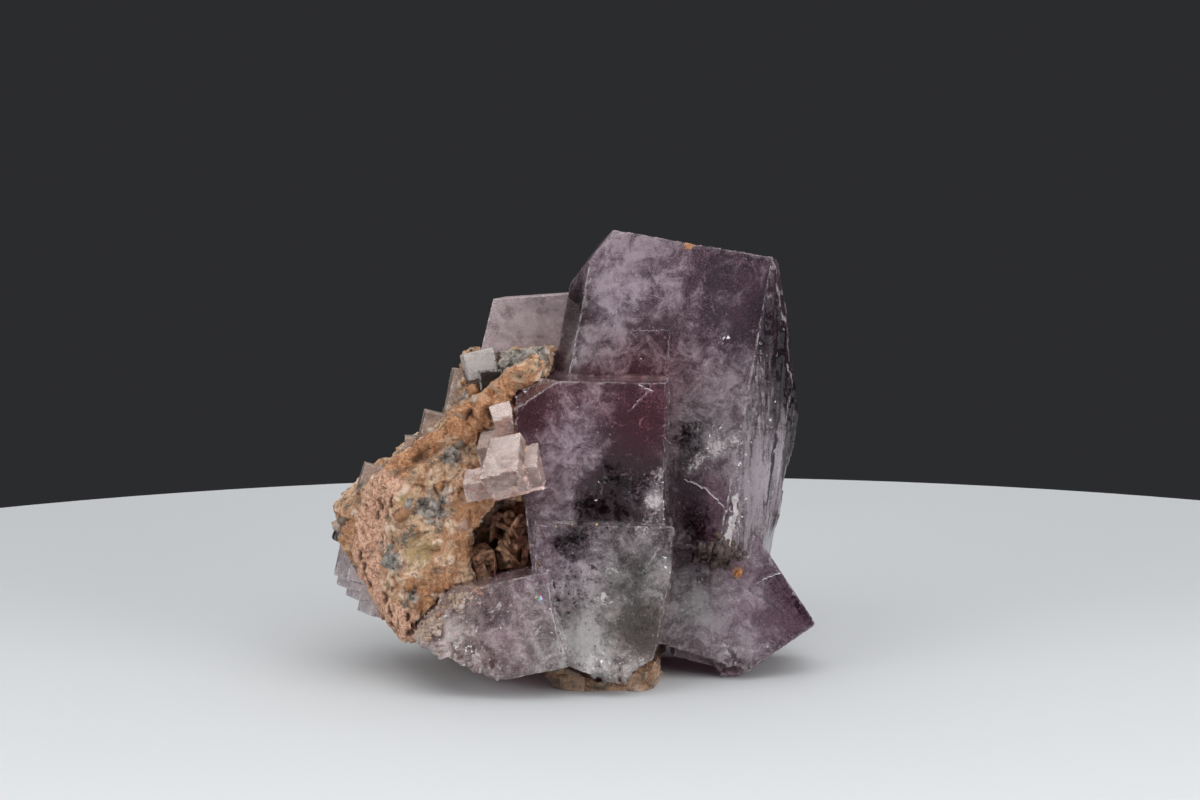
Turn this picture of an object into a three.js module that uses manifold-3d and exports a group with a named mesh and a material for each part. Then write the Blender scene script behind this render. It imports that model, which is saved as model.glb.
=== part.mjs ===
// A loose mineral specimen: purple fluorite cubes grown on a piece of iron-stained vein rock.
// Millimetres, +Z up. Seen from the front along +Y, with +X to the right.

import * as THREE from "three";
import { mergeVertices } from "three/addons/utils/BufferGeometryUtils.js";
import Module from "manifold-3d";

const wasm = await Module();
wasm.setup();

// Clearance between a crystal and the rock or neighbour it sits in.
const SOCKET_GAP = 0.3;
// Half-width of the block that stands for everything beyond a cut plane.
const CUT_REACH = 120;

// Every crystal is a block in its own frame: x to the right along its front face, y into the
// crystal from that face, z up the face. "at" is the front face's middle, "turn" is lean (top
// towards the viewer), roll (top to the right) and yaw (seen from above), in degrees. A cut takes
// away all that lies further than "reach" from that middle in the direction "toward".

const TALL_CUBE = {
  at: [9.5, -4.5, 33.3],
  turn: [-14, 8.5, -9],
  from: [-14, 0, -15],
  to: [15.2, 21, 22],
  cuts: [
    { toward: [0.93, -0.37, 0], reach: 10.46 },
    { toward: [0.949, 0.1, 0.316], reach: 17.7 },
    { toward: [-0.85, -0.53, 0], reach: 9.56 },
    { toward: [-0.87, -0.2, 0.46], reach: 18.0 },
  ],
};

const FRONT_CUBE = {
  at: [1.6, -11.9, 25.7],
  turn: [-6, 0.5, -2],
  from: [-9.35, 0, -13],
  to: [9.35, 16, 13],
  cuts: [
    { toward: [-0.55, -0.25, 0.83], reach: 12.6 },
    { toward: [-0.99, 0, -0.12], reach: 8.0 },
  ],
};

const LOWER_CUBE = {
  at: [3.4, -14.6, 11.6],
  turn: [-4, 1, 2],
  from: [-8.4, 0, -9.75],
  to: [8.4, 15, 9.75],
  cuts: [
    { toward: [0.98, -0.1, -0.18], reach: 7.4 },
    { toward: [0.56, -0.1, -0.83], reach: 9.0 },
    { toward: [-0.38, -0.1, -0.92], reach: 8.6 },
  ],
};

const LEFT_CUBE = {
  at: [-10.4, -16.2, 8.3],
  turn: [-5, -13, -4],
  from: [-9.5, 0, -6],
  to: [8.5, 11, 6],
  cuts: [
    { toward: [-0.56, -0.3, 0.83], reach: 5.0 },
    { toward: [-0.62, -0.2, -0.79], reach: 4.8 },
  ],
};

const TURNED_CUBE = {
  at: [16.3, -5, 9.7],
  turn: [-12, -33, 4],
  from: [-10, 0, -10],
  to: [10, 14, 10],
  cuts: [
    { toward: [-0.78, 0, -0.62], reach: 6.6 },
    { toward: [0.5, 0, 0.87], reach: 8.0 },
  ],
};

const TURNED_NUB = {
  at: [20.3, -4, 3.4],
  turn: [-8, -33, 6],
  from: [-3.5, 0, -3],
  to: [3.5, 9, 3],
  cuts: [],
};

const TURNED_FOOT = {
  at: [17.3, -3.2, 3.6],
  turn: [-8, 15, 4],
  from: [-4.6, 0, -2.4],
  to: [4.5, 6, 2],
  cuts: [],
};

const SHOULDER_CUBE = {
  at: [-3, 6, 40.3],
  turn: [-8, -3, 6],
  from: [-10, 0, -6.5],
  to: [7.5, 12, 6.5],
  cuts: [{ toward: [-0.95, 0.2, 0.3], reach: 8.5 }],
};

const WHITE_CUBE = {
  at: [-11.8, 0.9, 38.9],
  turn: [-10, -12, 10],
  from: [-1.9, 0, -1.7],
  to: [1.9, 4, 1.7],
  cuts: [],
};

const SMOKY_CUBE = {
  at: [-10.5, -1.0, 37.0],
  turn: [-5, -4, 8],
  from: [-1.45, 0, -1.4],
  to: [1.45, 3, 1.4],
  cuts: [],
};

const LEDGE_CUBE = {
  at: [-14.1, 2, 35.4],
  turn: [-10, 12, 8],
  from: [-1.6, 0, -2.6],
  to: [1.6, 4, 2.6],
  cuts: [],
};

const PALE_CUBES = [
  {
    at: [-8.5, -15.2, 26.5],
    turn: [38, -19, -4],
    from: [-2.5, 0, -2.2],
    to: [2.5, 6.2, 2.3],
    cuts: [{ toward: [-0.7, 0.1, 0.7], reach: 3.3 }],
  },
  {
    at: [-5.7, -13.9, 27.0],
    turn: [32, -14, -2],
    from: [-1.7, 0, -2],
    to: [1.6, 4.4, 2],
    cuts: [],
  },
  {
    at: [-8.4, -10.6, 33.0],
    turn: [20, -16, 12],
    from: [-1.4, 0, -2],
    to: [1.3, 3.6, 1.4],
    cuts: [],
  },
  {
    at: [-12.2, -11.6, 25.1],
    turn: [16, -12, -4],
    from: [-1.4, 0, -1.3],
    to: [1.8, 4, 1.3],
    cuts: [],
  },
  {
    at: [-9.0, -11.4, 28.3],
    turn: [10, -12, -4],
    from: [-2.6, 0, -2.6],
    to: [2.4, 7, 2.8],
    cuts: [],
  },
];

const RIM_CUBES = {
  rim_cube_upper: {
    at: [-17.1, 2, 30.4],
    turn: [-6, 14, 6],
    from: [-2.2, 0, -2.1],
    to: [2.6, 4, 1.9],
    cuts: [],
  },
  rim_cube_middle: {
    at: [-20.0, 2.5, 27.8],
    turn: [-6, 1, 4],
    from: [-1.5, 0, -1.5],
    to: [2, 3.5, 1.5],
    cuts: [],
  },
  rim_cube_lower: {
    at: [-24.8, 0, 24.0],
    turn: [-8, 18, 6],
    from: [-2.2, 0, -1.9],
    to: [2.4, 4.5, 1.9],
    cuts: [],
  },
};

const EDGE_PLATE = {
  at: [-29.0, 1, 16.9],
  turn: [-6, 28, 8],
  from: [-1.3, 0, -1.1],
  to: [1.6, 3, 1.1],
  cuts: [],
};

const STEP_TURN = [-6, 15, 18];
const STEP_CUBES = [
  { at: [-25.3, 2.5, 12.4], turn: STEP_TURN, from: [-3.4, 0, -2.2], to: [4, 7, 2.2], cuts: [] },
  { at: [-24.6, 3.2, 10.6], turn: STEP_TURN, from: [-3.9, 0, -1.9], to: [4, 7, 3], cuts: [] },
  { at: [-22.8, 3.0, 8.9], turn: STEP_TURN, from: [-4.6, 0, -1.7], to: [4, 7, 3], cuts: [] },
  { at: [-21.4, 2.4, 7.4], turn: STEP_TURN, from: [-4.4, 0, -2.0], to: [4.4, 7, 3], cuts: [] },
];

const VUG_BLOCKS = {
  vug_block_left: {
    at: [-11.2, -6.4, 14.9],
    turn: [12, -16, 24],
    from: [-1.5, 0, -1.4],
    to: [1.5, 3, 1.4],
    cuts: [],
  },
  vug_block_middle: {
    at: [-8.6, -5.2, 15.6],
    turn: [6, 8, -14],
    from: [-1.3, 0, -1.9],
    to: [1.3, 3.4, 1.9],
    cuts: [],
  },
  vug_block_right: {
    at: [-6.5, -4.6, 15.4],
    turn: [4, 10, 18],
    from: [-0.6, 0, -2.2],
    to: [0.6, 3.4, 2.2],
    cuts: [],
  },
  vug_block_top: {
    at: [-8.2, -4.2, 19.4],
    turn: [-8, 24, -6],
    from: [-2.2, 0, -0.9],
    to: [2.2, 3.6, 0.9],
    cuts: [],
  },
};

const REAR_CUBES = [
  { at: [-12.5, 16.4, 26.5], turn: [8, 20, 172], from: [-3.4, 0, -3.1], to: [3.4, 8, 3.1], cuts: [] },
  { at: [-17.5, 14.8, 21.8], turn: [6, 17, 158], from: [-3, 0, -3], to: [3, 8, 3], cuts: [] },
  { at: [-13.4, 15.8, 21], turn: [8, 22, 166], from: [-2.6, 0, -2.6], to: [2.6, 7, 2.6], cuts: [] },
  { at: [-9, 15.6, 21.5], turn: [4, 14, 184], from: [-2.7, 0, -2.5], to: [2.7, 7, 2.5], cuts: [] },
  { at: [-17, 15.2, 17], turn: [10, 24, 164], from: [-2.4, 0, -2.4], to: [2.4, 7, 2.4], cuts: [] },
  { at: [-12, 15.3, 16.6], turn: [6, 12, 178], from: [-2.6, 0, -2.3], to: [2.6, 7, 2.3], cuts: [] },
];

// The rock is a few broken lumps. A face of a lump is its outward direction and its distance from
// the lump's middle.
const ROCK_LUMPS = [
  {
    at: [-14, 3, 22],
    detail: 9,
    faces: [
      [0.05, -1, 0.1, 10.5],
      [-0.63, 0.05, 0.77, 8.9],
      [-0.82, 0.1, -0.57, 15.4],
      [0.1, 0, -1, 16],
      [0, 1, 0, 11],
      [1, 0, 0, 17],
      [-0.75, -0.65, 0, 13.5],
      [0.2, 0, 1, 20],
      [0.76, 0, 0.65, 18.6],
    ],
  },
  {
    at: [-9, 4, 35.5],
    detail: 6,
    faces: [
      [-0.25, -0.9, 0.35, 4.4],
      [-0.95, 0, 0.3, 5.6],
      [0, 0.2, 1, 4.6],
      [0, 1, 0, 6],
      [1, 0, 0, 6.2],
      [0, 0, -1, 8],
    ],
  },
  {
    at: [5, 6, 13],
    detail: 6,
    faces: [
      [0, -1, 0, 3.5],
      [0, 1, 0.1, 11],
      [0, 0.3, 0.95, 17],
      [-1, 0, 0, 18],
      [1, 0, 0.1, 13],
      [0, 0, -1, 15],
      [-0.6, 0.3, -0.75, 13],
      [0.7, 0, -0.7, 12.4],
    ],
  },
  {
    at: [3.5, -1, 6],
    detail: 5,
    faces: [
      [0, -1, -0.1, 11.4],
      [-1, 0, -0.4, 8],
      [1, 0, 0, 6.5],
      [0, 1, 0, 14],
      [0, 0, 1, 8],
      [0, 0, -1, 8],
    ],
  },
];
const ROCK_ROUGHNESS = 0.55;
const ROCK_RIPPLE = 1.9;

const VUG = { at: [-9, -7.5, 18], detail: 3, faces: [
  [1, 0, 0, 4.2],
  [-1, 0, 0, 4.2],
  [0, 1, 0, 4.8],
  [0, -1, 0, 6],
  [0, 0, 1, 5],
  [0, 0, -1, 5.4],
  [-0.7, 0, 0.7, 3.6],
] };

const COLOURS = {
  rock: { color: "#a5805f", roughness: 0.95 },
  purple: { color: "#77646f", roughness: 0.25 },
  lavender: { color: "#958388", roughness: 0.3 },
  white: { color: "#b5acad", roughness: 0.35 },
  smoky: { color: "#4c4648", roughness: 0.2 },
  pinkish: { color: "#b09a94", roughness: 0.3 },
  brown: { color: "#5a4030", roughness: 0.7 },
};

// Solid of a closed three.js geometry, placed by a matrix.
function solidOf(geometry, matrix) {
  const bare = geometry.clone();
  bare.deleteAttribute("normal");
  bare.deleteAttribute("uv");
  const merged = mergeVertices(bare, 1e-4);
  merged.applyMatrix4(matrix);
  const mesh = new wasm.Mesh({
    numProp: 3,
    vertProperties: new Float32Array(merged.attributes.position.array),
    triVerts: new Uint32Array(merged.index.array),
  });
  return new wasm.Manifold(mesh);
}

// Placing matrix of a crystal from its "at" and "turn".
function crystalFrame({ at, turn }) {
  const [lean, roll, yaw] = turn.map(THREE.MathUtils.degToRad);
  const frame = new THREE.Matrix4().makeRotationFromEuler(new THREE.Euler(lean, roll, yaw, "ZXY"));
  return frame.setPosition(...at);
}

// Everything beyond a plane of the given frame, as a big block.
function beyondPlane(frame, toward, reach) {
  const direction = new THREE.Vector3(...toward).normalize();
  const turn = new THREE.Quaternion().setFromUnitVectors(new THREE.Vector3(0, 0, 1), direction);
  const middle = direction.clone().multiplyScalar(reach + CUT_REACH);
  const local = new THREE.Matrix4().compose(middle, turn, new THREE.Vector3(1, 1, 1));
  const block = new THREE.BoxGeometry(2 * CUT_REACH, 2 * CUT_REACH, 2 * CUT_REACH);
  return solidOf(block, frame.clone().multiply(local));
}

// One crystal, grown outward on every face by "grow".
function crystal(spec, grow = 0) {
  const frame = crystalFrame(spec);
  const size = spec.to.map((end, axis) => end - spec.from[axis] + 2 * grow);
  const middle = spec.to.map((end, axis) => (end + spec.from[axis]) / 2);
  const block = new THREE.BoxGeometry(...size).translate(...middle);
  let solid = solidOf(block, frame);
  for (const { toward, reach } of spec.cuts) {
    solid = solid.subtract(beyondPlane(frame, toward, reach + grow));
  }
  return solid;
}

// Several crystals run into one solid.
function grownTogether(specs, grow = 0) {
  return specs.map((spec) => crystal(spec, grow)).reduce((whole, next) => whole.add(next));
}

// Uneven height of a broken rock surface at a point.
function rockRipple({ x, y, z }) {
  const coarse = Math.sin(0.55 * x + 1.3 * Math.sin(0.41 * z)) * Math.sin(0.6 * y + 0.5 * z + 0.8);
  const fine = Math.sin(1.5 * x - 0.7 * y) * Math.sin(1.7 * z + 1.1 * y + 0.4);
  return (coarse + 0.6 * fine) / ROCK_RIPPLE;
}

// One lump of rock: a ball pulled in to its broken faces and roughened.
function rockLump({ at, detail, faces }, roughness) {
  const middle = new THREE.Vector3(...at);
  const ball = new THREE.IcosahedronGeometry(1, detail);
  const points = ball.attributes.position;
  const planes = faces.map(([x, y, z, distance]) => ({
    normal: new THREE.Vector3(x, y, z).normalize(),
    distance,
  }));
  for (let i = 0; i < points.count; i += 1) {
    const ray = new THREE.Vector3().fromBufferAttribute(points, i).normalize();
    const reaches = planes
      .filter(({ normal }) => normal.dot(ray) > 0.05)
      .map(({ normal, distance }) => distance / normal.dot(ray));
    const reach = Math.min(...reaches);
    const rough = roughness * rockRipple(ray.clone().multiplyScalar(reach).add(middle));
    ray.multiplyScalar(reach + rough);
    points.setXYZ(i, ray.x, ray.y, ray.z);
  }
  return solidOf(ball, new THREE.Matrix4().setPosition(middle));
}

// The largest connected piece of a solid.
function largestPiece(solid) {
  return solid.decompose().reduce((best, piece) => (piece.volume() > best.volume() ? piece : best));
}

// Three.js mesh of a finished solid.
function meshOf(name, solid, look) {
  const { vertProperties, triVerts } = solid.getMesh();
  const geometry = new THREE.BufferGeometry();
  geometry.setAttribute("position", new THREE.BufferAttribute(new Float32Array(vertProperties), 3));
  geometry.setIndex(new THREE.BufferAttribute(new Uint32Array(triVerts), 1));
  const mesh = new THREE.Mesh(geometry, new THREE.MeshStandardMaterial({ metalness: 0, ...look }));
  mesh.name = name;
  return mesh;
}

const MAIN_CRYSTALS = [
  TALL_CUBE, FRONT_CUBE, LOWER_CUBE, LEFT_CUBE, TURNED_CUBE, TURNED_NUB, TURNED_FOOT,
];

// In this order: a crystal is cut clear of those before it, and the rock is cut clear of all.
const CRYSTALS = [
  { name: "main_crystals", specs: MAIN_CRYSTALS, look: COLOURS.purple },
  { name: "pale_cubes", specs: PALE_CUBES, look: COLOURS.pinkish },
  { name: "shoulder_cube", specs: [SHOULDER_CUBE], look: COLOURS.lavender },
  { name: "white_cube", specs: [WHITE_CUBE], look: COLOURS.white },
  { name: "smoky_cube", specs: [SMOKY_CUBE], look: COLOURS.smoky },
  { name: "ledge_cube", specs: [LEDGE_CUBE], look: COLOURS.white },
  ...Object.entries(RIM_CUBES).map(([name, spec]) => ({ name, specs: [spec], look: COLOURS.white })),
  { name: "edge_plate", specs: [EDGE_PLATE], look: COLOURS.smoky },
  { name: "step_cubes", specs: STEP_CUBES, look: COLOURS.lavender },
  ...Object.entries(VUG_BLOCKS).map(([name, spec]) => ({ name, specs: [spec], look: COLOURS.brown })),
  { name: "rear_cubes", specs: REAR_CUBES, look: COLOURS.lavender },
];

function buildSpecimen() {
  const ground = beyondPlane(new THREE.Matrix4(), [0, 0, -1], 0);
  const specimen = new THREE.Group();
  let taken = ground;
  for (const { name, specs, look } of CRYSTALS) {
    const solid = largestPiece(grownTogether(specs).subtract(taken));
    specimen.add(meshOf(name, solid, look));
    taken = taken.add(grownTogether(specs, SOCKET_GAP));
  }
  const lumps = ROCK_LUMPS.map((lump) => rockLump(lump, ROCK_ROUGHNESS));
  const rock = lumps
    .reduce((whole, next) => whole.add(next))
    .subtract(rockLump(VUG, ROCK_ROUGHNESS))
    .subtract(taken);
  specimen.add(meshOf("matrix", largestPiece(rock), COLOURS.rock));
  return specimen;
}

// The specimen stands on the ground plane with the middle of its outline over the origin.
function centredOnGround(specimen) {
  const middle = new THREE.Box3().setFromObject(specimen).getCenter(new THREE.Vector3());
  specimen.position.set(-middle.x, -middle.y, 0);
  return specimen;
}

const part = new THREE.Group();
part.add(centredOnGround(buildSpecimen()));
export default part;
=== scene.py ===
"""Looks of the fluorite cluster: cloudy purple cubes on iron-stained rock, standing on a pale table."""
import math

import bmesh
import bpy
import numpy as np
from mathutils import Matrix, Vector
from mathutils.bvhtree import BVHTree


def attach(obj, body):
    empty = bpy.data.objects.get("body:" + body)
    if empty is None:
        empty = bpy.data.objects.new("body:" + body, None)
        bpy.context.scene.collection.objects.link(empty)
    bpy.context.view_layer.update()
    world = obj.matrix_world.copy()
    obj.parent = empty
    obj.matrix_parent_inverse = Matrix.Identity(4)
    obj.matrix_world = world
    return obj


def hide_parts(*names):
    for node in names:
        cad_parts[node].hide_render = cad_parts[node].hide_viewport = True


MM = 0.001
RANDOM = np.random.RandomState(11)

# The camera of the photograph: a long lens a little above the specimen.
PHOTO_WIDTH = 1200
PHOTO_HEIGHT = 800
FOCAL_PIXELS = 4160
SENSOR_MM = 36.0
CAMERA_ELEVATION = math.radians(10)
CAMERA_DISTANCE = 520 * MM
CAMERA_TARGET = Vector((3.5, -2.9, 34.5)) * MM

# The round table, whose far edge shows behind the specimen.
TABLE_CENTRE = (9.7 * MM, -80 * MM)
TABLE_RADIUS = 205 * MM
TABLE_THICKNESS = 12 * MM

# Surface fineness of each kind of piece: the side of one mesh square.
MAIN_FINENESS = 0.34 * MM
SMALL_FINENESS = 0.17 * MM
ROCK_FINENESS = 0.36 * MM

# Depth of the chips along the edges of the main and of the small crystals, in millimetres.
MAIN_EDGE_CHIP = 0.55
SMALL_EDGE_CHIP = 0.16

# Points of a CAD surface closer than this are one point, and its edges are sharp from this angle.
WELD_GAP = 0.002 * MM
CAD_SHARP_ANGLE = math.radians(20)
# Edges that stay hard in the finished surfaces.
CRYSTAL_SHARP_ANGLE = math.radians(32)
ROCK_SHARP_ANGLE = math.radians(28)

# Veils in the main crystals: flakes tried, mean depth and size in millimetres, and number of sheets.
VEIL_COUNT = 520000
VEIL_DEPTH = 2.2
VEIL_SIZE = 0.105
VEIL_SHEET_COUNT = 420
# How far a sealed flake keeps from the surface.
SEALED_GAP = 0.2 * MM
# The lowest a flake of a sheet may lie above the table, in millimetres.
LOWEST_FLAKE = 0.3
# Points along each edge of a crack.
CRACK_POINTS = 24

FLUORITE_IOR = 1.434

# Soft box lamps: place and size in metres, and power in watts.
LAMPS = {
    "top_box": ((0.05, 0.12, 0.55), (1.3, 1.0), 4.6),
    "left_box": ((-0.55, -0.38, 0.24), (0.45, 0.4), 2.1),
    "right_box": ((0.55, -0.38, 0.22), (0.45, 0.4), 2.4),
    "front_box": ((0.0, -0.42, 0.62), (1.0, 0.55), 2.1),
}
LAMP_AIM = Vector((0, 0, 0.025))
SURROUNDINGS = (0.0245, 0.025, 0.027, 1)

# Looks of the smaller crystals: tint where clear, tint where cloudy, cloudiness, and the colour and
# density of the absorption inside.
SMALL_LOOKS = {
    "lavender": ((0.80, 0.66, 0.68), (0.76, 0.63, 0.65), 0.6, (0.80, 0.66, 0.70), 100),
    "pale_lavender": ((0.84, 0.73, 0.75), (0.84, 0.74, 0.76), 0.55, (0.86, 0.76, 0.79), 70),
    "white": ((0.88, 0.83, 0.81), (0.84, 0.79, 0.77), 0.7, (0.88, 0.82, 0.80), 60),
    "smoky": ((0.16, 0.14, 0.15), (0.28, 0.25, 0.26), 0.25, (0.45, 0.42, 0.45), 250),
    "pinkish": ((0.96, 0.78, 0.72), (0.97, 0.82, 0.77), 0.4, (0.86, 0.70, 0.68), 90),
    "tan": ((0.72, 0.56, 0.49), (0.72, 0.58, 0.50), 0.6, (0.85, 0.70, 0.64), 80),
}

# The smaller crystals: the look and the material slot of each.
SMALL_CRYSTALS = {
    "shoulder_cube": ("lavender", "lavender_fluorite"),
    "step_cubes": ("pale_lavender", "lavender_fluorite"),
    "rear_cubes": ("lavender", "lavender_fluorite"),
    "white_cube": ("white", "white_fluorite"),
    "ledge_cube": ("tan", "white_fluorite"),
    "rim_cube_upper": ("tan", "white_fluorite"),
    "rim_cube_middle": ("tan", "white_fluorite"),
    "rim_cube_lower": ("tan", "white_fluorite"),
    "smoky_cube": ("smoky", "smoky_fluorite"),
    "edge_plate": ("smoky", "smoky_fluorite"),
    "pale_cubes": ("pinkish", "pinkish_fluorite"),
}

# Places on the main crystals, as pixels of the photograph, with a radius in millimetres and a
# strength: where veils make the crystal cloudy (positive) or leave it clear and dark (negative).
HAZE_SPOTS = {
    "tall crystal, upper left": (632, 268, 8.0, 0.88),
    "tall crystal, left middle": (606, 330, 6.0, 0.35),
    "tall crystal, left foot": (578, 355, 3.0, 0.4),
    "tall crystal, right half": (730, 285, 8.5, -0.4),
    "tall crystal, dark panel": (652, 335, 2.8, -0.8),
    "tall crystal, right middle": (712, 385, 6.5, 0.75),
    "tall crystal, shattered patch": (712, 445, 4.0, 0.15),
    "tall crystal, dark foot": (700, 510, 4.5, -0.9),
    "tall crystal, right side": (762, 480, 7.5, 1.3),
    "tall crystal, dark shoulder": (775, 320, 4.0, -0.9),
    "tall crystal, left facet": (563, 305, 2.6, -1.8),
    "tall crystal, outer side": (789, 405, 2.0, -1.8),
    "tall crystal, left facet's foot": (556, 334, 2.4, -1.8),
    "tall crystal, outer side's top": (789, 368, 2.0, -1.6),
    "tall crystal, outer side's foot": (787, 438, 2.0, -1.4),
    "front cube, upper right": (643, 420, 4.6, -1.5),
    "front cube, upper left": (528, 408, 3.0, -1.3),
    "front cube, middle": (575, 425, 5.5, 0.5),
    "front cube, top": (590, 377, 1.6, -1.0),
    "front cube, top right": (640, 377, 1.6, -1.0),
    "front cube, dark base": (630, 492, 5.0, -0.3),
    "lower cube, left": (570, 565, 5.0, 0.55),
    "front cube, left base": (562, 485, 4.0, 0.35),
    "lower cube, right": (630, 572, 4.0, -0.2),
    "front cube, black cloud": (612, 472, 1.8, -1.2),
    "front cube, low black cloud": (598, 505, 2.0, -1.1),
    "front cube, grey corner": (656, 500, 2.0, 1.1),
    "front cube, white middle": (600, 405, 2.2, 0.45),
    "lower cube, white top": (642, 537, 2.2, 0.6),
    "lower cube, dark top": (572, 540, 2.0, -0.9),
    "lower cube, cloud": (598, 590, 2.8, 0.45),
    "lower cube, white right edge": (666, 575, 1.8, 1.1),
    "lower cube, foot cloud": (580, 642, 3.0, 0.6),
    "lower left cube, dark cloud": (490, 618, 2.6, -0.6),
    "lower cube, bottom": (610, 655, 4.5, 0.6),
    "lower cube, brown window": (642, 632, 2.8, -1.2),
    "lower left cube, broken side": (447, 632, 4.0, 0.9),
    "lower left cube": (525, 630, 5.5, 0.3),
    "turned cube, middle": (712, 612, 7.0, 0.7),
    "turned cube, right tip": (806, 613, 3.0, -1.7),
    "turned cube, right edge": (790, 590, 2.4, -1.0),
    "turned cube, under edge": (735, 662, 3.2, 0.05),
}

# Body colours along the main crystals: pixel, then linear colour. The near-black tints on the tall crystal's
# outer side and left facet are painted shade.
TINT_SPOTS = {
    "tall crystal, left": ((615, 300), (0.58, 0.46, 0.55)),
    "tall crystal, right": ((730, 310), (0.47, 0.34, 0.43)),
    "tall crystal, foot": ((700, 500), (0.34, 0.25, 0.30)),
    "tall crystal, side": ((768, 470), (0.61, 0.54, 0.61)),
    "front cube, upper right": ((640, 420), (0.52, 0.22, 0.29)),
    "front cube, upper left": ((530, 410), (0.42, 0.20, 0.24)),
    "front cube, middle": ((570, 440), (0.54, 0.40, 0.48)),
    "front cube, base": ((620, 495), (0.32, 0.26, 0.29)),
    "lower cube, left": ((565, 560), (0.64, 0.53, 0.60)),
    "lower cube, right": ((635, 580), (0.34, 0.35, 0.32)),
    "lower cube, window": ((642, 632), (0.50, 0.42, 0.36)),
    "lower cube, foot": ((585, 645), (0.66, 0.68, 0.63)),
    "lower left cube": ((510, 625), (0.75, 0.59, 0.62)),
    "lower left cube, broken side": ((445, 635), (0.86, 0.70, 0.62)),
    # Painted shade: near-black tints that darken the tall crystal's outer side.
    "tall crystal, outer side": ((789, 400), (0.05, 0.045, 0.05)),
    "tall crystal, outer side's foot": ((788, 432), (0.10, 0.09, 0.10)),
    "tall crystal, outer side's top": ((782, 345), (0.08, 0.065, 0.075)),
    "tall crystal, side's top": ((770, 320), (0.20, 0.15, 0.19)),
    # Painted shade: a near-black tint that darkens the tall crystal's left facet.
    "tall crystal, left facet": ((563, 305), (0.12, 0.095, 0.095)),
    "front cube, top": ((590, 378), (0.38, 0.19, 0.23)),
    "front cube, top right": ((640, 378), (0.38, 0.17, 0.21)),
    "tall crystal, grey patch": ((690, 440), (0.30, 0.29, 0.30)),
    "tall crystal, left foot": ((578, 352), (0.54, 0.46, 0.50)),
    "turned cube, dark band": ((788, 592), (0.24, 0.17, 0.21)),
    "turned cube, band's top": ((772, 566), (0.30, 0.24, 0.28)),
    "turned cube, beside the band": ((758, 604), (0.53, 0.44, 0.50)),
    "turned cube, under the band": ((776, 626), (0.47, 0.37, 0.43)),
    "turned cube, dark tip": ((806, 612), (0.22, 0.16, 0.20)),
    "turned cube, lavender": ((745, 628), (0.52, 0.43, 0.49)),
    "turned cube, underside": ((700, 661), (0.46, 0.36, 0.40)),
    "turned cube, left": ((700, 610), (0.43, 0.45, 0.44)),
    "turned cube, tip": ((795, 610), (0.40, 0.30, 0.36)),
    "turned cube, under edge": ((735, 660), (0.37, 0.28, 0.32)),
}

# Rusty smears on the main crystals: pixel, radius in millimetres and strength.
RUST_SPOTS = {
    "tall crystal's top edge": (689, 244, 0.8, 1.2),
    "pocket above the turned cube": (738, 572, 1.0, 1.0),
    "front cube's back corner": (546, 372, 1.2, 0.8),
    "lower left cube's top": (478, 588, 1.5, 0.7),
    "lower left cube's left side": (436, 618, 2.0, 0.8),
}

# Smoky black patches inside the main crystals: pixel, radius in millimetres and strength.
DARK_SPOTS = {
    "front cube, middle": (612, 472, 1.8, 0.62),
    "front cube, low": (600, 505, 2.0, 0.64),
    "front cube, right": (640, 487, 1.9, 0.56),
    "front cube, foot": (624, 514, 1.7, 0.55),
    "front cube, left foot": (584, 508, 1.6, 0.43),
    "lower cube, top": (575, 537, 2.1, 0.68),
    "lower cube, top left": (558, 545, 1.5, 0.57),
    "lower cube, left edge": (558, 600, 1.1, 0.43),
    "tall crystal, beside the front cube": (686, 438, 2.6, 0.8),
    "tall crystal, over the pocket": (704, 536, 2.8, 0.8),
    "tall crystal, under the flash": (690, 512, 2.0, 0.48),
    "lower cube, upper middle": (600, 556, 0.9, 0.41),
    "lower cube, left": (568, 566, 1.2, 0.49),
    "lower cube, middle": (588, 580, 0.9, 0.41),
    "lower cube, lower left": (566, 620, 1.1, 0.41),
    "lower cube, low middle": (592, 612, 0.8, 0.41),
    "lower cube, window": (642, 628, 2.2, 0.41),
    "lower left cube, left": (488, 616, 1.7, 0.45),
    "lower left cube, low": (505, 642, 1.5, 0.41),
    "lower left cube, far left": (468, 632, 1.2, 0.33),
    "turned cube, upper edge": (772, 582, 1.5, 0.41),
    "turned cube, right edge": (792, 602, 1.7, 0.57),
    "turned cube, tip": (806, 613, 1.4, 0.57),
    "turned cube, under the pocket": (700, 576, 1.5, 0.41),
}
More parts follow.
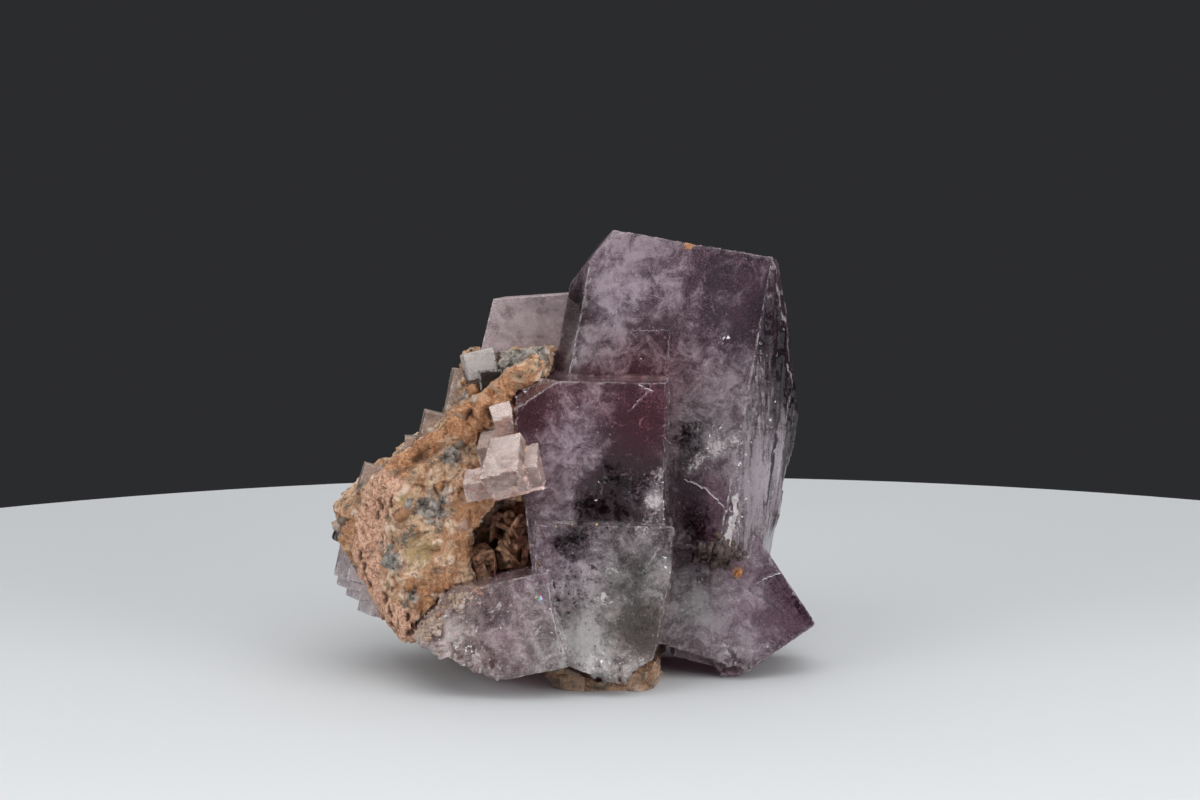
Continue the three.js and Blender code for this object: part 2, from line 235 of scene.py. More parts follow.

# Whitish shattered patches on the main crystals, and painted highlights at the lower left cube's glints:
# pixel, radius in millimetres and strength.
WHITE_SPOTS = {
    "tall crystal, shattered patch": (718, 446, 1.5, 0.94),
    "tall crystal, left of the patch": (698, 462, 1.1, 0.72),
    "tall crystal, right of the patch": (738, 440, 0.9, 0.5),
    "tall crystal, under the patch": (688, 470, 0.9, 0.36),
    "tall crystal, top right edge": (772, 296, 0.6, 0.58),
    "front cube, grey corner": (655, 500, 1.4, 0.86),
    "front cube, right edge": (660, 475, 0.9, 0.79),
    "front cube, foot": (650, 520, 1.0, 0.5),
    "front cube, chip": (514, 403, 0.7, 1.3),
    "front cube, chip's top": (530, 386, 0.6, 1.2),
    "front cube, chip's start": (541, 379, 0.6, 1),
    "front cube, chip's side": (512, 418, 0.7, 1.3),
    "front cube, chip's end": (516, 430, 0.6, 1.1),
    "lower cube, top": (640, 530, 1.2, 0.58),
    "lower cube, top middle": (620, 528, 0.8, 0.43),
    "lower cube, right edge": (662, 560, 0.9, 0.5),
    "lower cube, foot": (600, 660, 2.0, 0.65),
    "lower cube, foot left": (570, 650, 1.4, 0.5),
    "lower cube, foot right": (640, 662, 1.2, 0.58),
    "lower cube, cloud": (602, 598, 1.5, 0.65),
    "lower cube, upper cloud": (612, 572, 1.2, 0.6),
    "lower cube, left cloud": (575, 592, 0.8, 0.5),
    # Painted highlights: white spots at the lower left cube's glints.
    "lower left cube, glint": (500, 606, 0.6, 0.6),
    "lower left cube, right glint": (537, 630, 0.7, 0.6),
    "turned cube, middle": (735, 602, 1.1, 0.5),
    "lower cube, low foot": (585, 668, 1.6, 0.58),
    "lower left cube, broken side": (455, 640, 2.4, 0.5),
    "lower left cube, foot": (470, 660, 1.8, 0.5),
    "lower left cube, left": (440, 620, 1.8, 0.5),
    "turned cube, under edge": (768, 646, 1.0, 0.36),
    "turned cube, under edge's left": (745, 655, 1.0, 0.22),
}

# The white, splintered strip at the foot of the tall crystal's front edge, as a run of pixels.
WHITE_STRIP = ((737, 501), (733, 518), (727, 541))
WHITE_STRIP_HALF_WIDTH = 0.85

# Broken, hackly places on the main crystals: pixel, radius and roughness in millimetres.
BROKEN_SPOTS = {
    "front cube's chipped corner": (515, 402, 1.6, 0.4),
    "lower cube's broken foot": (612, 672, 3.8, 0.9),
    "lower cube's broken right edge": (664, 610, 3.0, 0.45),
    "lower left cube's broken side": (445, 632, 5.0, 1.1),
    "lower left cube's broken foot": (478, 668, 4.2, 0.9),
    "tall crystal's shattered foot": (735, 520, 3.6, 0.8),
    "turned cube's under edge": (735, 662, 3.8, 0.7),
}

# Cracks that start at the surface of the main crystals: a run of pixels, how far the crack reaches
# inward in millimetres, and how far its deep edge drifts to the right and up in the picture.
BRIGHT_CRACKS = {
    "front cube, corner flash": (((627, 413), (640, 399), (651, 389)), 1.6, (0.8, 0.4)),
    "front cube, upper flash": (((639, 384), (646, 388), (654, 391)), 1.2, (0.3, -0.8)),
    "front cube, chipped edge": (((543, 379), (515, 399), (512, 414), (516, 430)), 0.5, (0.5, -0.2)),
    "tall crystal, top crack": (((689, 250), (677, 276), (666, 299), (641, 293)), 1.5, (0.15, 0.1)),
    "tall crystal, middle crack": (((670, 330), (668, 345), (669, 361)), 1.2, (0.15, 0.0)),
    "tall crystal, fine level line": (((632, 330), (650, 331), (670, 329)), 0.8, (0.0, 0.1)),
    "tall crystal, foot flash": (((684, 479), (706, 490), (725, 508)), 1.0, (0.25, 0.3)),
    "tall crystal, foot strip": (((737, 499), (732, 518), (725, 540)), 1.0, (-0.9, 0.2)),
    "turned cube, bright crack": (((755, 585), (767, 578), (780, 574)), 1.6, (0.3, 0.6)),
    "turned cube, inner crack": (((729, 590), (730, 600), (720, 614)), 1.0, (0.1, 0.2)),
    "lower left cube, top edge": (((472, 586), (505, 578), (543, 566)), 0.5, (0.0, -0.12)),
    "lower left cube, right edge": (((546, 568), (552, 610), (561, 656)), 0.5, (-0.15, 0.0)),
    "lower left cube, left glint": (((500, 601), (496, 608), (489, 613)), 0.9, (0.4, 0.2)),
    "lower left cube, right glint": (((541, 625), (537, 632), (533, 639)), 0.9, (0.4, 0.3)),
    "lower cube, right crack": (((660, 545), (650, 562), (641, 575)), 1.4, (0.4, 0.2)),
}
# Swarms of short cracks: middle pixel, spread across and down, count, length in pixels, and the
# direction the cracks run, in degrees from level, with its spread.
CRACK_SWARMS = {
    "tall crystal, shattered patch": (705, 448, 18, 12, 46, 16, 35, 50),
    "tall crystal, right side": (762, 455, 8, 40, 14, 22, 98, 5),
    "tall crystal, foot": (705, 508, 14, 14, 12, 14, 35, 40),
    "tall crystal, white strip": (732, 520, 4, 10, 16, 12, 110, 25),
    "front cube, base": (640, 490, 14, 16, 10, 10, 60, 60),
    "front cube, corner": (524, 392, 8, 8, 14, 9, 125, 30),
    "front cube, face": (585, 430, 32, 24, 16, 10, 20, 60),
    "lower cube, right side": (656, 560, 6, 18, 20, 13, 115, 30),
    "lower cube, foot": (600, 658, 24, 8, 26, 13, 15, 45),
    "lower left cube, face": (512, 628, 20, 18, 16, 10, 120, 40),
    "lower left cube, broken side": (455, 640, 16, 12, 40, 11, 130, 50),
    "turned cube, face": (712, 615, 24, 18, 16, 14, 50, 40),
    "turned cube, under edge": (755, 645, 14, 7, 18, 10, 35, 25),
}
DARK_CRACKS = {
    "tall crystal, outer side crack": (((783, 352), (780, 400), (772, 455), (765, 520)), 1.0, (0.5, 0.0)),
    "tall crystal, inner side crack": (((762, 370), (757, 420), (749, 470)), 0.8, (0.35, 0.0)),
    "turned cube, dark seam": (((727, 574), (752, 592), (784, 614)), 1.8, (0.25, 0.5)),
    "front cube, foot seam": (((536, 519), (580, 521), (664, 524)), 0.8, (0.0, 0.25)),
}

# Patches of the rock: pixel, radius in millimetres and strength.
GLASSY_PATCHES = {
    "upper middle": (432, 508, 2.4, 1.0),
    "left middle": (394, 562, 1.7, 1.0),
    "left foot": (412, 596, 1.3, 0.9),
    "right foot": (438, 606, 1.1, 0.8),
    "top crevice": (452, 456, 1.4, 1.2),
    "under the shoulder": (505, 366, 3.2, 1.3),
    "beside the tall crystal": (528, 352, 2.6, 1.3),
    "behind the ridge": (490, 352, 2.2, 1.1),
    "left shoulder": (462, 396, 1.8, 0.7),
}
YELLOW_PATCHES = {
    "middle": (420, 552, 2.2, 1.0),
    "upper": (405, 500, 1.5, 0.7),
    "foot": (425, 612, 1.8, 0.8),
}
RUSTY_PATCHES = {
    "beside the vug": (470, 503, 3.0, 1.1),
    "under the middle": (444, 588, 2.6, 1.0),
    "under the pale cubes": (474, 478, 1.6, 0.7),
    "vug's left edge": (466, 548, 2.2, 0.9),
    "foot of the skin": (420, 600, 2.0, 0.9),
    "ridge": (470, 424, 2.6, 1.0),
    "top of the ridge": (520, 378, 2.2, 0.8),
    "left tip": (352, 530, 2.4, 1.0),
}

# Loose spots sealed under the crystals' faces: middle pixel, spread in pixels across and down, and count.
SPARKLES = {
    "tall crystal, shattered patch": (714, 445, 14, 13, 260),
    "tall crystal, star": (716, 432, 4, 5, 60),
    "tall crystal, upper speck": (708, 297, 2, 2, 12),
    "tall crystal, middle specks": (722, 338, 6, 3, 30),
    "tall crystal, edge chip": (757, 332, 2, 5, 24),
    "tall crystal, foot": (731, 520, 5, 12, 120),
    "tall crystal, side": (764, 470, 9, 28, 160),
    "front cube, right veil": (657, 495, 5, 16, 110),
    "front cube, scatter": (585, 430, 30, 26, 120),
    "lower cube, right edge": (662, 560, 5, 20, 110),
    "lower cube, foot": (600, 655, 24, 10, 160),
    "lower left cube": (505, 625, 24, 22, 110),
    "turned cube": (715, 610, 28, 22, 120),
}
SHARDS = {
    "tall crystal, shattered patch": (714, 432, 8, 5, 16),
    "tall crystal, under the patch": (700, 456, 13, 7, 18),
    "tall crystal, foot": (732, 520, 4, 12, 22),
    "tall crystal, front edge": (741, 465, 3, 16, 12),
    "front cube, corner": (521, 391, 5, 7, 10),
    "front cube, right edge": (658, 496, 4, 14, 8),
    "lower cube, right edge": (660, 560, 4, 18, 16),
    "lower cube, foot": (600, 660, 20, 6, 18),
    "lower left cube, broken side": (450, 640, 14, 9, 34),
    "turned cube, under edge": (760, 645, 12, 5, 12),
}
BLACK_SPECKS = {
    "lower cube, left": (573, 582, 16, 32, 120),
    "lower cube, top": (600, 530, 30, 5, 40),
    "front cube, base": (620, 490, 22, 14, 60),
}
GOLD_FLECKS = {
    "lower cube, top edge": (570, 526, 18, 2, 16),
    "lower cube, left edge": (540, 565, 2, 4, 8),
}

# A healed crack with rainbow colours in the lower left cube, as for the loose spots.
RAINBOW = {"lower left cube": (539, 599, 1.2, 2.2, 14)}

# The little pocket of rusty rock above the turned cube, as for the loose spots.
POCKET = (719, 554, 9, 5, 120)
POCKET_RUST = (738, 573, 2.4, 1.0, 7)

# Broken pale grains where crystals meet the rock, as for the loose spots.
SEAM_GRAINS = {
    "lower left cube, top": (454, 600, 10, 4, 60),
    "lower left cube, left": (430, 622, 6, 7, 90),
    "lower left cube, corner": (424, 636, 4, 4, 40),
    "vug rim": (476, 545, 4, 14, 60),
}

# Blocks of glassy vein mineral set in the rock: pixel, size in millimetres and kind.
ROCK_BLOCKS = {
    "grey, left": (388, 560, 1.2, "grey"),
    "grey, upper": (408, 502, 1.1, "grey"),
    "honey, middle": (412, 558, 1.4, "honey"),
    "rose, above the vug": (468, 500, 1.4, "rose"),
    "rose, beside the vug": (462, 526, 1.2, "rose"),
    "rose, vug's edge": (476, 556, 1.3, "rose"),
    "rose, vug's foot": (484, 572, 1.1, "rose"),
    "rose, low": (440, 566, 1.0, "rose"),
}

# Loose grains on the rock: how many, their dark and light colours and how clear they are.
ROCK_GRAINS = {
    "glassy": (24, (0.22, 0.18, 0.14), (0.45, 0.37, 0.29), 0.6),
    "cream": (24, (0.42, 0.30, 0.22), (0.62, 0.50, 0.42), 0.2),
    "rusty": (60, (0.26, 0.11, 0.05), (0.50, 0.26, 0.13), 0.0),
}
# The blocks' dark and light colours and how clear they are.
BLOCK_LOOKS = {
    "grey": ((0.12, 0.11, 0.10), (0.50, 0.46, 0.42), 0.2),
    "honey": ((0.40, 0.24, 0.11), (0.70, 0.52, 0.34), 0.4),
    "rose": ((0.66, 0.38, 0.26), (0.84, 0.62, 0.52), 0.5),
}
CUBE_CORNERS = np.array(list(np.ndindex(2, 2, 2))) * 2.0 - 1
CUBE_SIDES = np.array([[0, 1, 3, 2], [4, 6, 7, 5], [0, 4, 5, 1], [2, 3, 7, 6], [0, 2, 6, 4], [1, 5, 7, 3]])

# The vug, as for the patches, and the shards in it, as for the loose spots.
VUG_SPOT = {"vug": (508, 545, 5.2, 1.0)}
VUG_SHARDS = (510, 538, 13, 15, 20)

# The rock's iron-rich skin, as runs of pixels along its edge: each with a half-width in millimetres.
SKIN_RUN = ((388, 476), (374, 505), (366, 540), (368, 578), (382, 608), (412, 630))
SKIN_HALF_WIDTH = 2.4
OCHRE_RUN = ((400, 462), (440, 432), (490, 402), (516, 386))
OCHRE_HALF_WIDTH = 2.0

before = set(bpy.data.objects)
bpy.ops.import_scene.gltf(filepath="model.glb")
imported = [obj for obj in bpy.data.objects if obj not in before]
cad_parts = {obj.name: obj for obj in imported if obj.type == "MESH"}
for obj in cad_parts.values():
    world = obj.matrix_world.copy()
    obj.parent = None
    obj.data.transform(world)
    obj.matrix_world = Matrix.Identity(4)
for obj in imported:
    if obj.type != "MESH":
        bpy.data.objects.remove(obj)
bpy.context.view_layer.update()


# Numbers that vary smoothly through space

def cell_numbers(cells, seed):
    """A repeatable number from 0 to 1 for every whole-number cell."""
    c = cells.astype(np.int64).astype(np.uint32)
    mixed = c[:, 0] * np.uint32(73856093)
    mixed ^= c[:, 1] * np.uint32(19349663)
    mixed ^= c[:, 2] * np.uint32(83492791)
    mixed += np.uint32(seed * 2654435 + 977)
    mixed ^= mixed >> np.uint32(15)
    mixed *= np.uint32(2246822519)
    mixed ^= mixed >> np.uint32(13)
    mixed *= np.uint32(3266489917)
    mixed ^= mixed >> np.uint32(16)
    return mixed / 4294967295.0


def smooth_noise(points, seed=0):
    """Smooth noise from -1 to 1, with one bump per unit."""
    base = np.floor(points)
    part = points - base
    part = part * part * (3 - 2 * part)
    total = np.zeros(len(points))
    for corner in np.ndindex(2, 2, 2):
        weight = np.prod(np.where(corner, part, 1 - part), axis=1)
        total += weight * cell_numbers(base + corner, seed)
    return 2 * total - 1


def cloud_noise(points, octaves=4, seed=0):
    """Several scales of smooth noise, from about -1 to 1."""
    total = np.zeros(len(points))
    for k in range(octaves):
        total += 0.5 ** k * smooth_noise(points * 2 ** k, seed + k)
    return total / (2 - 0.5 ** (octaves - 1))


def grain_noise(points, seed=0):
    """A surface broken into tilted, angular grains: height, each grain's own number, and its seams."""
    base = np.floor(points)
    nearest = np.full(len(points), 9.0)
    second = np.full(len(points), 9.0)
    height = np.zeros(len(points))
    kind = np.zeros(len(points))
    for shift in np.ndindex(3, 3, 3):
        cell = base + np.array(shift) - 1
        middle = np.stack([cell_numbers(cell, seed + k) for k in range(3)], axis=1) + cell
        tilt = np.stack([cell_numbers(cell, seed + 3 + k) for k in range(3)], axis=1) - 0.5
        distance = np.linalg.norm(points - middle, axis=1)
        closer = distance < nearest
        second = np.where(closer, nearest, np.minimum(second, distance))
        nearest = np.where(closer, distance, nearest)
        slope = np.sum((points - middle) * tilt, axis=1)
        height = np.where(closer, cell_numbers(cell, seed + 6) - 0.5 + 1.6 * slope, height)
        kind = np.where(closer, cell_numbers(cell, seed + 7), kind)
    return height, kind, 1 - step_up(second - nearest, 0.02, 0.16)


def step_up(value, low, high):
    """0 below low, 1 above high, smooth between."""
    t = np.clip((value - low) / (high - low), 0, 1)
    return t * t * (3 - 2 * t)


# Places taken from the photograph

def camera_axes():
    """The camera's place and its forward and up directions."""
    forward = Vector((0, math.cos(CAMERA_ELEVATION), -math.sin(CAMERA_ELEVATION)))
    up = Vector((0, math.sin(CAMERA_ELEVATION), math.cos(CAMERA_ELEVATION)))
    return CAMERA_TARGET - CAMERA_DISTANCE * forward, forward, up


def photo_ray(u, v):
    """The line of sight through a pixel of the photograph."""
    place, forward, up = camera_axes()
    across = Vector((1, 0, 0)) * (u - PHOTO_WIDTH / 2) / FOCAL_PIXELS
    above = up * (PHOTO_HEIGHT / 2 - v) / FOCAL_PIXELS
    return place, (forward + across + above).normalized()


def surface_tree(nodes):
    """A search tree over the surfaces of some CAD nodes."""
    points = []
    faces = []
    for name in nodes:
        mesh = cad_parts[name].data
        start = len(points)
        points += [v.co.copy() for v in mesh.vertices]
        faces += [[start + i for i in p.vertices] for p in mesh.polygons]
    return BVHTree.FromPolygons(points, faces)


def place_at(tree, u, v):
    """The point of a surface seen at a pixel, and its normal."""
    place, direction = photo_ray(u, v)
    point, normal, _, _ = tree.ray_cast(place, direction)
    if point is None:
        point, normal, _, _ = tree.find_nearest(place + CAMERA_DISTANCE * direction)
    return np.array(point), np.array(normal)


def spot_field(points, tree, spots):
    """The summed influence of named spots at each point."""
    total = np.zeros(len(points))
    for u, v, radius, strength in spots.values():
        middle = place_at(tree, u, v)[0] / MM
        gap = np.linalg.norm(points - middle, axis=1)
        total += strength * np.exp(-(gap / radius) ** 2)
    return total


def tint_field(points, tree):
    """Body colour at each point, blended from the named tint spots, which include painted shade on the tall
    crystal's outer side and left facet.
    """
    weights = []
    colours = []
    for (u, v), colour in TINT_SPOTS.values():
        middle = place_at(tree, u, v)[0] / MM
        gap = np.linalg.norm(points - middle, axis=1)
        weights.append(1 / (gap + 0.8) ** 3)
        colours.append(colour)
    weights = np.stack(weights, axis=1)
    weights /= weights.sum(axis=1, keepdims=True)
    return weights @ np.array(colours)


def run_field(points, tree, run, half_width):
    """Closeness to a run of pixels laid on a surface: 1 on it, 0 past its half-width."""
    places = [place_at(tree, u, v)[0] / MM for u, v in run]
    gap = distance_to_edges(points, list(zip(places, places[1:])), 4 * half_width)
    return 1 - step_up(gap, 0.5 * half_width, 1.5 * half_width)


def smoothed_run(run, count):
    """Evenly spaced pixels along a run of pixels."""
    steps = np.array(run, float)
    along = np.concatenate([[0], np.cumsum(np.linalg.norm(np.diff(steps, axis=0), axis=1))])
    at = np.linspace(0, along[-1], count)
    return np.stack([np.interp(at, along, steps[:, k]) for k in range(2)], axis=1)


def spots_under_surface(tree, spots, shallow, deep):
    """Points a little under a surface, scattered about some pixels."""
    places = []
    for u, v, across, down, count in spots:
        for _ in range(count):
            place, direction = photo_ray(RANDOM.normal(u, across), RANDOM.normal(v, down))
            point = tree.ray_cast(place, direction)[0]
            if point is not None:
                places.append(np.array(point + direction * RANDOM.uniform(shallow, deep) * MM) / MM)
    return np.array(places)


# Meshes

def mesh_of(name, points, faces):
    """A mesh from arrays of points and of equal-sided faces."""
    sides = faces.shape[1]
    mesh = bpy.data.meshes.new(name)
    mesh.vertices.add(len(points))
    mesh.vertices.foreach_set("co", np.asarray(points, np.float32).ravel())
    mesh.loops.add(faces.size)
    mesh.loops.foreach_set("vertex_index", faces.astype(np.int32).ravel())
    mesh.polygons.add(len(faces))
    mesh.polygons.foreach_set("loop_start", np.arange(0, faces.size, sides, dtype=np.int32))
    mesh.update(calc_edges=True)
    mesh.validate()
    return mesh


def add_piece(name, mesh, material, replaces=()):
    """A finished piece that rides with the specimen."""
    piece = bpy.data.objects.new(name, mesh)
    bpy.context.scene.collection.objects.link(piece)
    mesh.materials.clear()
    mesh.materials.append(material)
    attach(piece, "root")
    if replaces:
        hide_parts(*replaces)
    return piece


def fine_mesh(node, fineness):
    """An even, fine copy of a CAD node's surface, drawn onto its flat faces."""
    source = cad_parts[node]
    copy = bpy.data.objects.new(node + "_copy", source.data.copy())
    bpy.context.scene.collection.objects.link(copy)
    weld = copy.modifiers.new("weld", "WELD")
    weld.merge_threshold = WELD_GAP
    even = copy.modifiers.new("even", "REMESH")
    even.mode = "VOXEL"
    even.voxel_size = fineness
    flat = copy.modifiers.new("flat", "SHRINKWRAP")
    flat.target = source
    flat.wrap_method = "NEAREST_SURFACEPOINT"
    graph = bpy.context.evaluated_depsgraph_get()
    mesh = bpy.data.meshes.new_from_object(copy.evaluated_get(graph), depsgraph=graph)
    bpy.data.objects.remove(copy)
    mesh.name = node + "_fine"
    return mesh


def mesh_points(mesh):
    """A mesh's points, in millimetres."""
    flat = np.zeros(len(mesh.vertices) * 3, np.float32)
    mesh.vertices.foreach_get("co", flat)
    return flat.reshape(-1, 3).astype(float) / MM


def mesh_normals(mesh):
    """A mesh's point normals."""
    flat = np.zeros(len(mesh.vertices) * 3, np.float32)
    mesh.vertex_normals.foreach_get("vector", flat)
    return flat.reshape(-1, 3).astype(float)


def move_points(mesh, points):
    """Sets a mesh's points from millimetres."""
    mesh.vertices.foreach_set("co", (points * MM).astype(np.float32).ravel())
    mesh.update()


def store_number(mesh, name, values):
    """Keeps one number per point for the material to read."""
    layer = mesh.attributes.new(name, "FLOAT", "POINT")
    layer.data.foreach_set("value", np.asarray(values, np.float32))


def store_colour(mesh, name, colours):
    """Keeps one colour per point for the material to read."""
    layer = mesh.attributes.new(name, "FLOAT_COLOR", "POINT")
    full = np.concatenate([colours, np.ones((len(colours), 1))], axis=1)
    layer.data.foreach_set("color", full.astype(np.float32).ravel())


def sharp_edges(node):
    """The end points of a CAD node's outward and inward sharp edges, in millimetres."""
    bm = bmesh.new()
    bm.from_mesh(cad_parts[node].data)
    bmesh.ops.remove_doubles(bm, verts=bm.verts, dist=WELD_GAP)
    outward = []
    inward = []
    for edge in bm.edges:
        if len(edge.link_faces) == 2 and edge.calc_face_angle() > CAD_SHARP_ANGLE:
            ends = [np.array(v.co) / MM for v in edge.verts]
            (outward if edge.is_convex else inward).append(ends)
    bm.free()
    return outward, inward


def distance_to_edges(points, edges, limit):
    """Each point's distance to the nearest of some edges, up to a limit."""
    nearest = np.full(len(points), limit)
    for start, end in edges:
        run = end - start
        along = np.clip((points - start) @ run / max(run @ run, 1e-9), 0, 1)
        gap = np.linalg.norm(points - start - along[:, None] * run, axis=1)
        nearest = np.minimum(nearest, gap)
    return nearest


# Shader building

class Shader:
    """A material whose nodes are added one at a time."""

    def __init__(self, name):
        self.material = bpy.data.materials.new(name)
        self.material.use_nodes = True
        self.tree = self.material.node_tree
        self.tree.nodes.clear()
        self.output = self.tree.nodes.new("ShaderNodeOutputMaterial")
        coordinates = self.tree.nodes.new("ShaderNodeTexCoord")
        self.place = self.add("ShaderNodeVectorMath", (coordinates.outputs["Object"],), operation="SCALE")
        self.tree.nodes[-1].inputs["Scale"].default_value = 1 / MM

    def add(self, kind, values=(), output=0, **settings):
        """Adds a node, sets or links its inputs, and returns one of its outputs."""
        node = self.tree.nodes.new(kind)
        for key, value in settings.items():
            setattr(node, key, value)
        pairs = values.items() if isinstance(values, dict) else enumerate(values)
        for key, value in pairs:
            if isinstance(value, bpy.types.NodeSocket):
                self.tree.links.new(value, node.inputs[key])
            elif value is not None:
                node.inputs[key].default_value = value
        return node.outputs[output]

    def noise(self, size, detail=4.0, roughness=0.55, distortion=0.0, stretch=None):
        """Cloudy noise whose features are about the given size in millimetres."""
        where = self.place
        if stretch:
            where = self.add("ShaderNodeVectorMath", (where, stretch), operation="MULTIPLY")
        values = {
            "Vector": where,
            "Scale": 1 / size,
            "Detail": detail,
            "Roughness": roughness,
            "Distortion": distortion,
        }
        return self.add("ShaderNodeTexNoise", values)

    def number(self, name):
        """A number kept on the mesh's points."""
        return self.add("ShaderNodeAttribute", (), "Fac", attribute_name=name)

    def colour(self, name):
        """A colour kept on the mesh's points."""
        return self.add("ShaderNodeAttribute", (), "Color", attribute_name=name)

    def math(self, operation, a, b=0.0, c=None):
        """One sum on one to three numbers."""
        values = (a, b) if c is None else (a, b, c)
        return self.add("ShaderNodeMath", values, operation=operation)

    def between(self, value, low, high, start=0.0, end=1.0):
        """Maps low..high to start..end, smoothly and without going past either."""
        values = {"Value": value, "From Min": low, "From Max": high, "To Min": start, "To Max": end}
        return self.add("ShaderNodeMapRange", values, interpolation_type="SMOOTHSTEP")

    def mix(self, share, first, second):
        """A colour between two colours."""
        values = {0: share, 6: rgba(first), 7: rgba(second)}
        return self.add("ShaderNodeMix", values, 2, data_type="RGBA")

    def bump(self, height, strength, distance, normal=None):
        """A surface normal tilted by a height in millimetres."""
        values = {"Strength": strength, "Distance": distance * MM, "Height": height, "Normal": normal}
        return self.add("ShaderNodeBump", values)

    def surface(self, **values):
        """Ends the material in one principled shader."""
        named = {key.replace("_", " ").title(): value for key, value in values.items()}
        named = {key.replace("Ior", "IOR"): value for key, value in named.items()}
        shader = self.add("ShaderNodeBsdfPrincipled", named)
        self.tree.links.new(shader, self.output.inputs["Surface"])
        return self.material

    def absorb(self, colour, density):
        """Fills the body with plain absorption."""
        values = {"Color": (*colour, 1), "Density": density}
        volume = self.add("ShaderNodeVolumeAbsorption", values)
        self.tree.links.new(volume, self.output.inputs["Volume"])


def rgba(colour):
    """A plain colour with full alpha; sockets pass through."""
    if isinstance(colour, bpy.types.NodeSocket):
        return colour
    return (*colour, 1.0)


# Materials

def ragged_patch(s, name, ragged):
    """A patch kept on the mesh's points, with a torn outline."""
    patch = s.number(name)
    torn = s.between(s.math("ADD", patch, ragged), 0.3, 0.9)
    return s.math("MULTIPLY", torn, s.between(patch, 0.05, 0.35))


def main_crystal_material():
    """Purple fluorite: clear and dark where it is sound, lavender where it is full of veils."""
    s = Shader("purple_fluorite")
    wisps = s.noise(2.3, 10, 0.75, 0.55)
    drift = s.noise(7.0, 4, 0.6, 0.25)
    fine = s.noise(0.5, 6, 0.75, 0.4)
    curl = s.noise(2.4, 10, 0.74, 0.4)
    haze = s.math("ADD", s.number("haze"), s.math("MULTIPLY_ADD", wisps, 2.7, -1.35))
    haze = s.math("ADD", haze, s.math("MULTIPLY_ADD", drift, 0.8, -0.4))
    haze = s.math("ADD", haze, s.math("MULTIPLY_ADD", fine, 0.7, -0.35))
    streaks = s.noise(0.7, 6, 0.65, 0.2, (1.0, 1.0, 0.1))
    streaks = s.math("MULTIPLY", s.number("side"), s.math("MULTIPLY_ADD", streaks, 3.0, -1.5))
    haze = s.between(s.math("ADD", haze, streaks), 0.05, 1.35)
    threads = s.between(s.math("ABSOLUTE", s.math("SUBTRACT", curl, 0.5)), 0.0, 0.03, 0.22, 0.0)
    threads = s.math("MULTIPLY", threads, s.between(haze, 0.15, 0.6))
    ragged = s.math("MULTIPLY_ADD", s.noise(0.9, 10, 0.85, 0.5), 4.0, -2.0)
    smoky = ragged_patch(s, "dark", ragged)
    white = ragged_patch(s, "white", ragged)
    rust = ragged_patch(s, "rust", s.math("MULTIPLY_ADD", fine, 2.0, -1.0))
    chipped = s.between(s.noise(2.2, 6, 0.7), 0.36, 0.54)
    wear = s.math("MULTIPLY", s.between(s.number("edge"), 0.05, 0.3, 0.7, 0.0), chipped)
    broken = s.math("MULTIPLY", s.number("broken"), s.between(s.noise(0.9, 5, 0.65), 0.4, 0.66))
    pale = s.math("MAXIMUM", wear, s.math("MULTIPLY", broken, 0.5))
    pale = s.math("MAXIMUM", pale, s.math("MULTIPLY", white, 0.9))
    pale = s.math("MAXIMUM", pale, threads)
    crevice = s.between(s.number("crevice"), 0.1, 0.9, 0.55, 0.0)
    dirt = s.math("MULTIPLY", crevice, s.between(drift, 0.45, 0.62))
    tint = s.colour("tint")
    body = s.mix(haze, tint, s.mix(0.35, tint, (0.62, 0.53, 0.58)))
    body = s.mix(s.math("MULTIPLY", smoky, 0.75), body, (0.03, 0.026, 0.03))
    body = s.mix(pale, body, (0.74, 0.69, 0.69))
    body = s.mix(dirt, body, (0.16, 0.08, 0.045))
    body = s.mix(rust, body, (0.50, 0.24, 0.11))
    solid = s.between(haze, 0.0, 1.0, 0.10, 0.55)
    solid = s.math("MULTIPLY", solid, s.math("SUBTRACT", 1.0, smoky))
    for cover in (pale, dirt, rust):
        solid = s.math("MAXIMUM", solid, s.math("MULTIPLY", cover, 0.8))
    clear = s.math("SUBTRACT", 1.0, solid)
    rough = s.between(s.math("ADD", solid, s.math("MULTIPLY", fine, 0.3)), 0.1, 0.9, 0.04, 0.35)
    ripple = s.bump(s.noise(1.4, 6, 0.6), 0.12, 0.06)
    s.absorb((0.68, 0.45, 0.55), 125)
    return s.surface(
        base_color=body,
        roughness=rough,
        ior=FLUORITE_IOR,
        transmission_weight=clear,
        normal=ripple,
    )


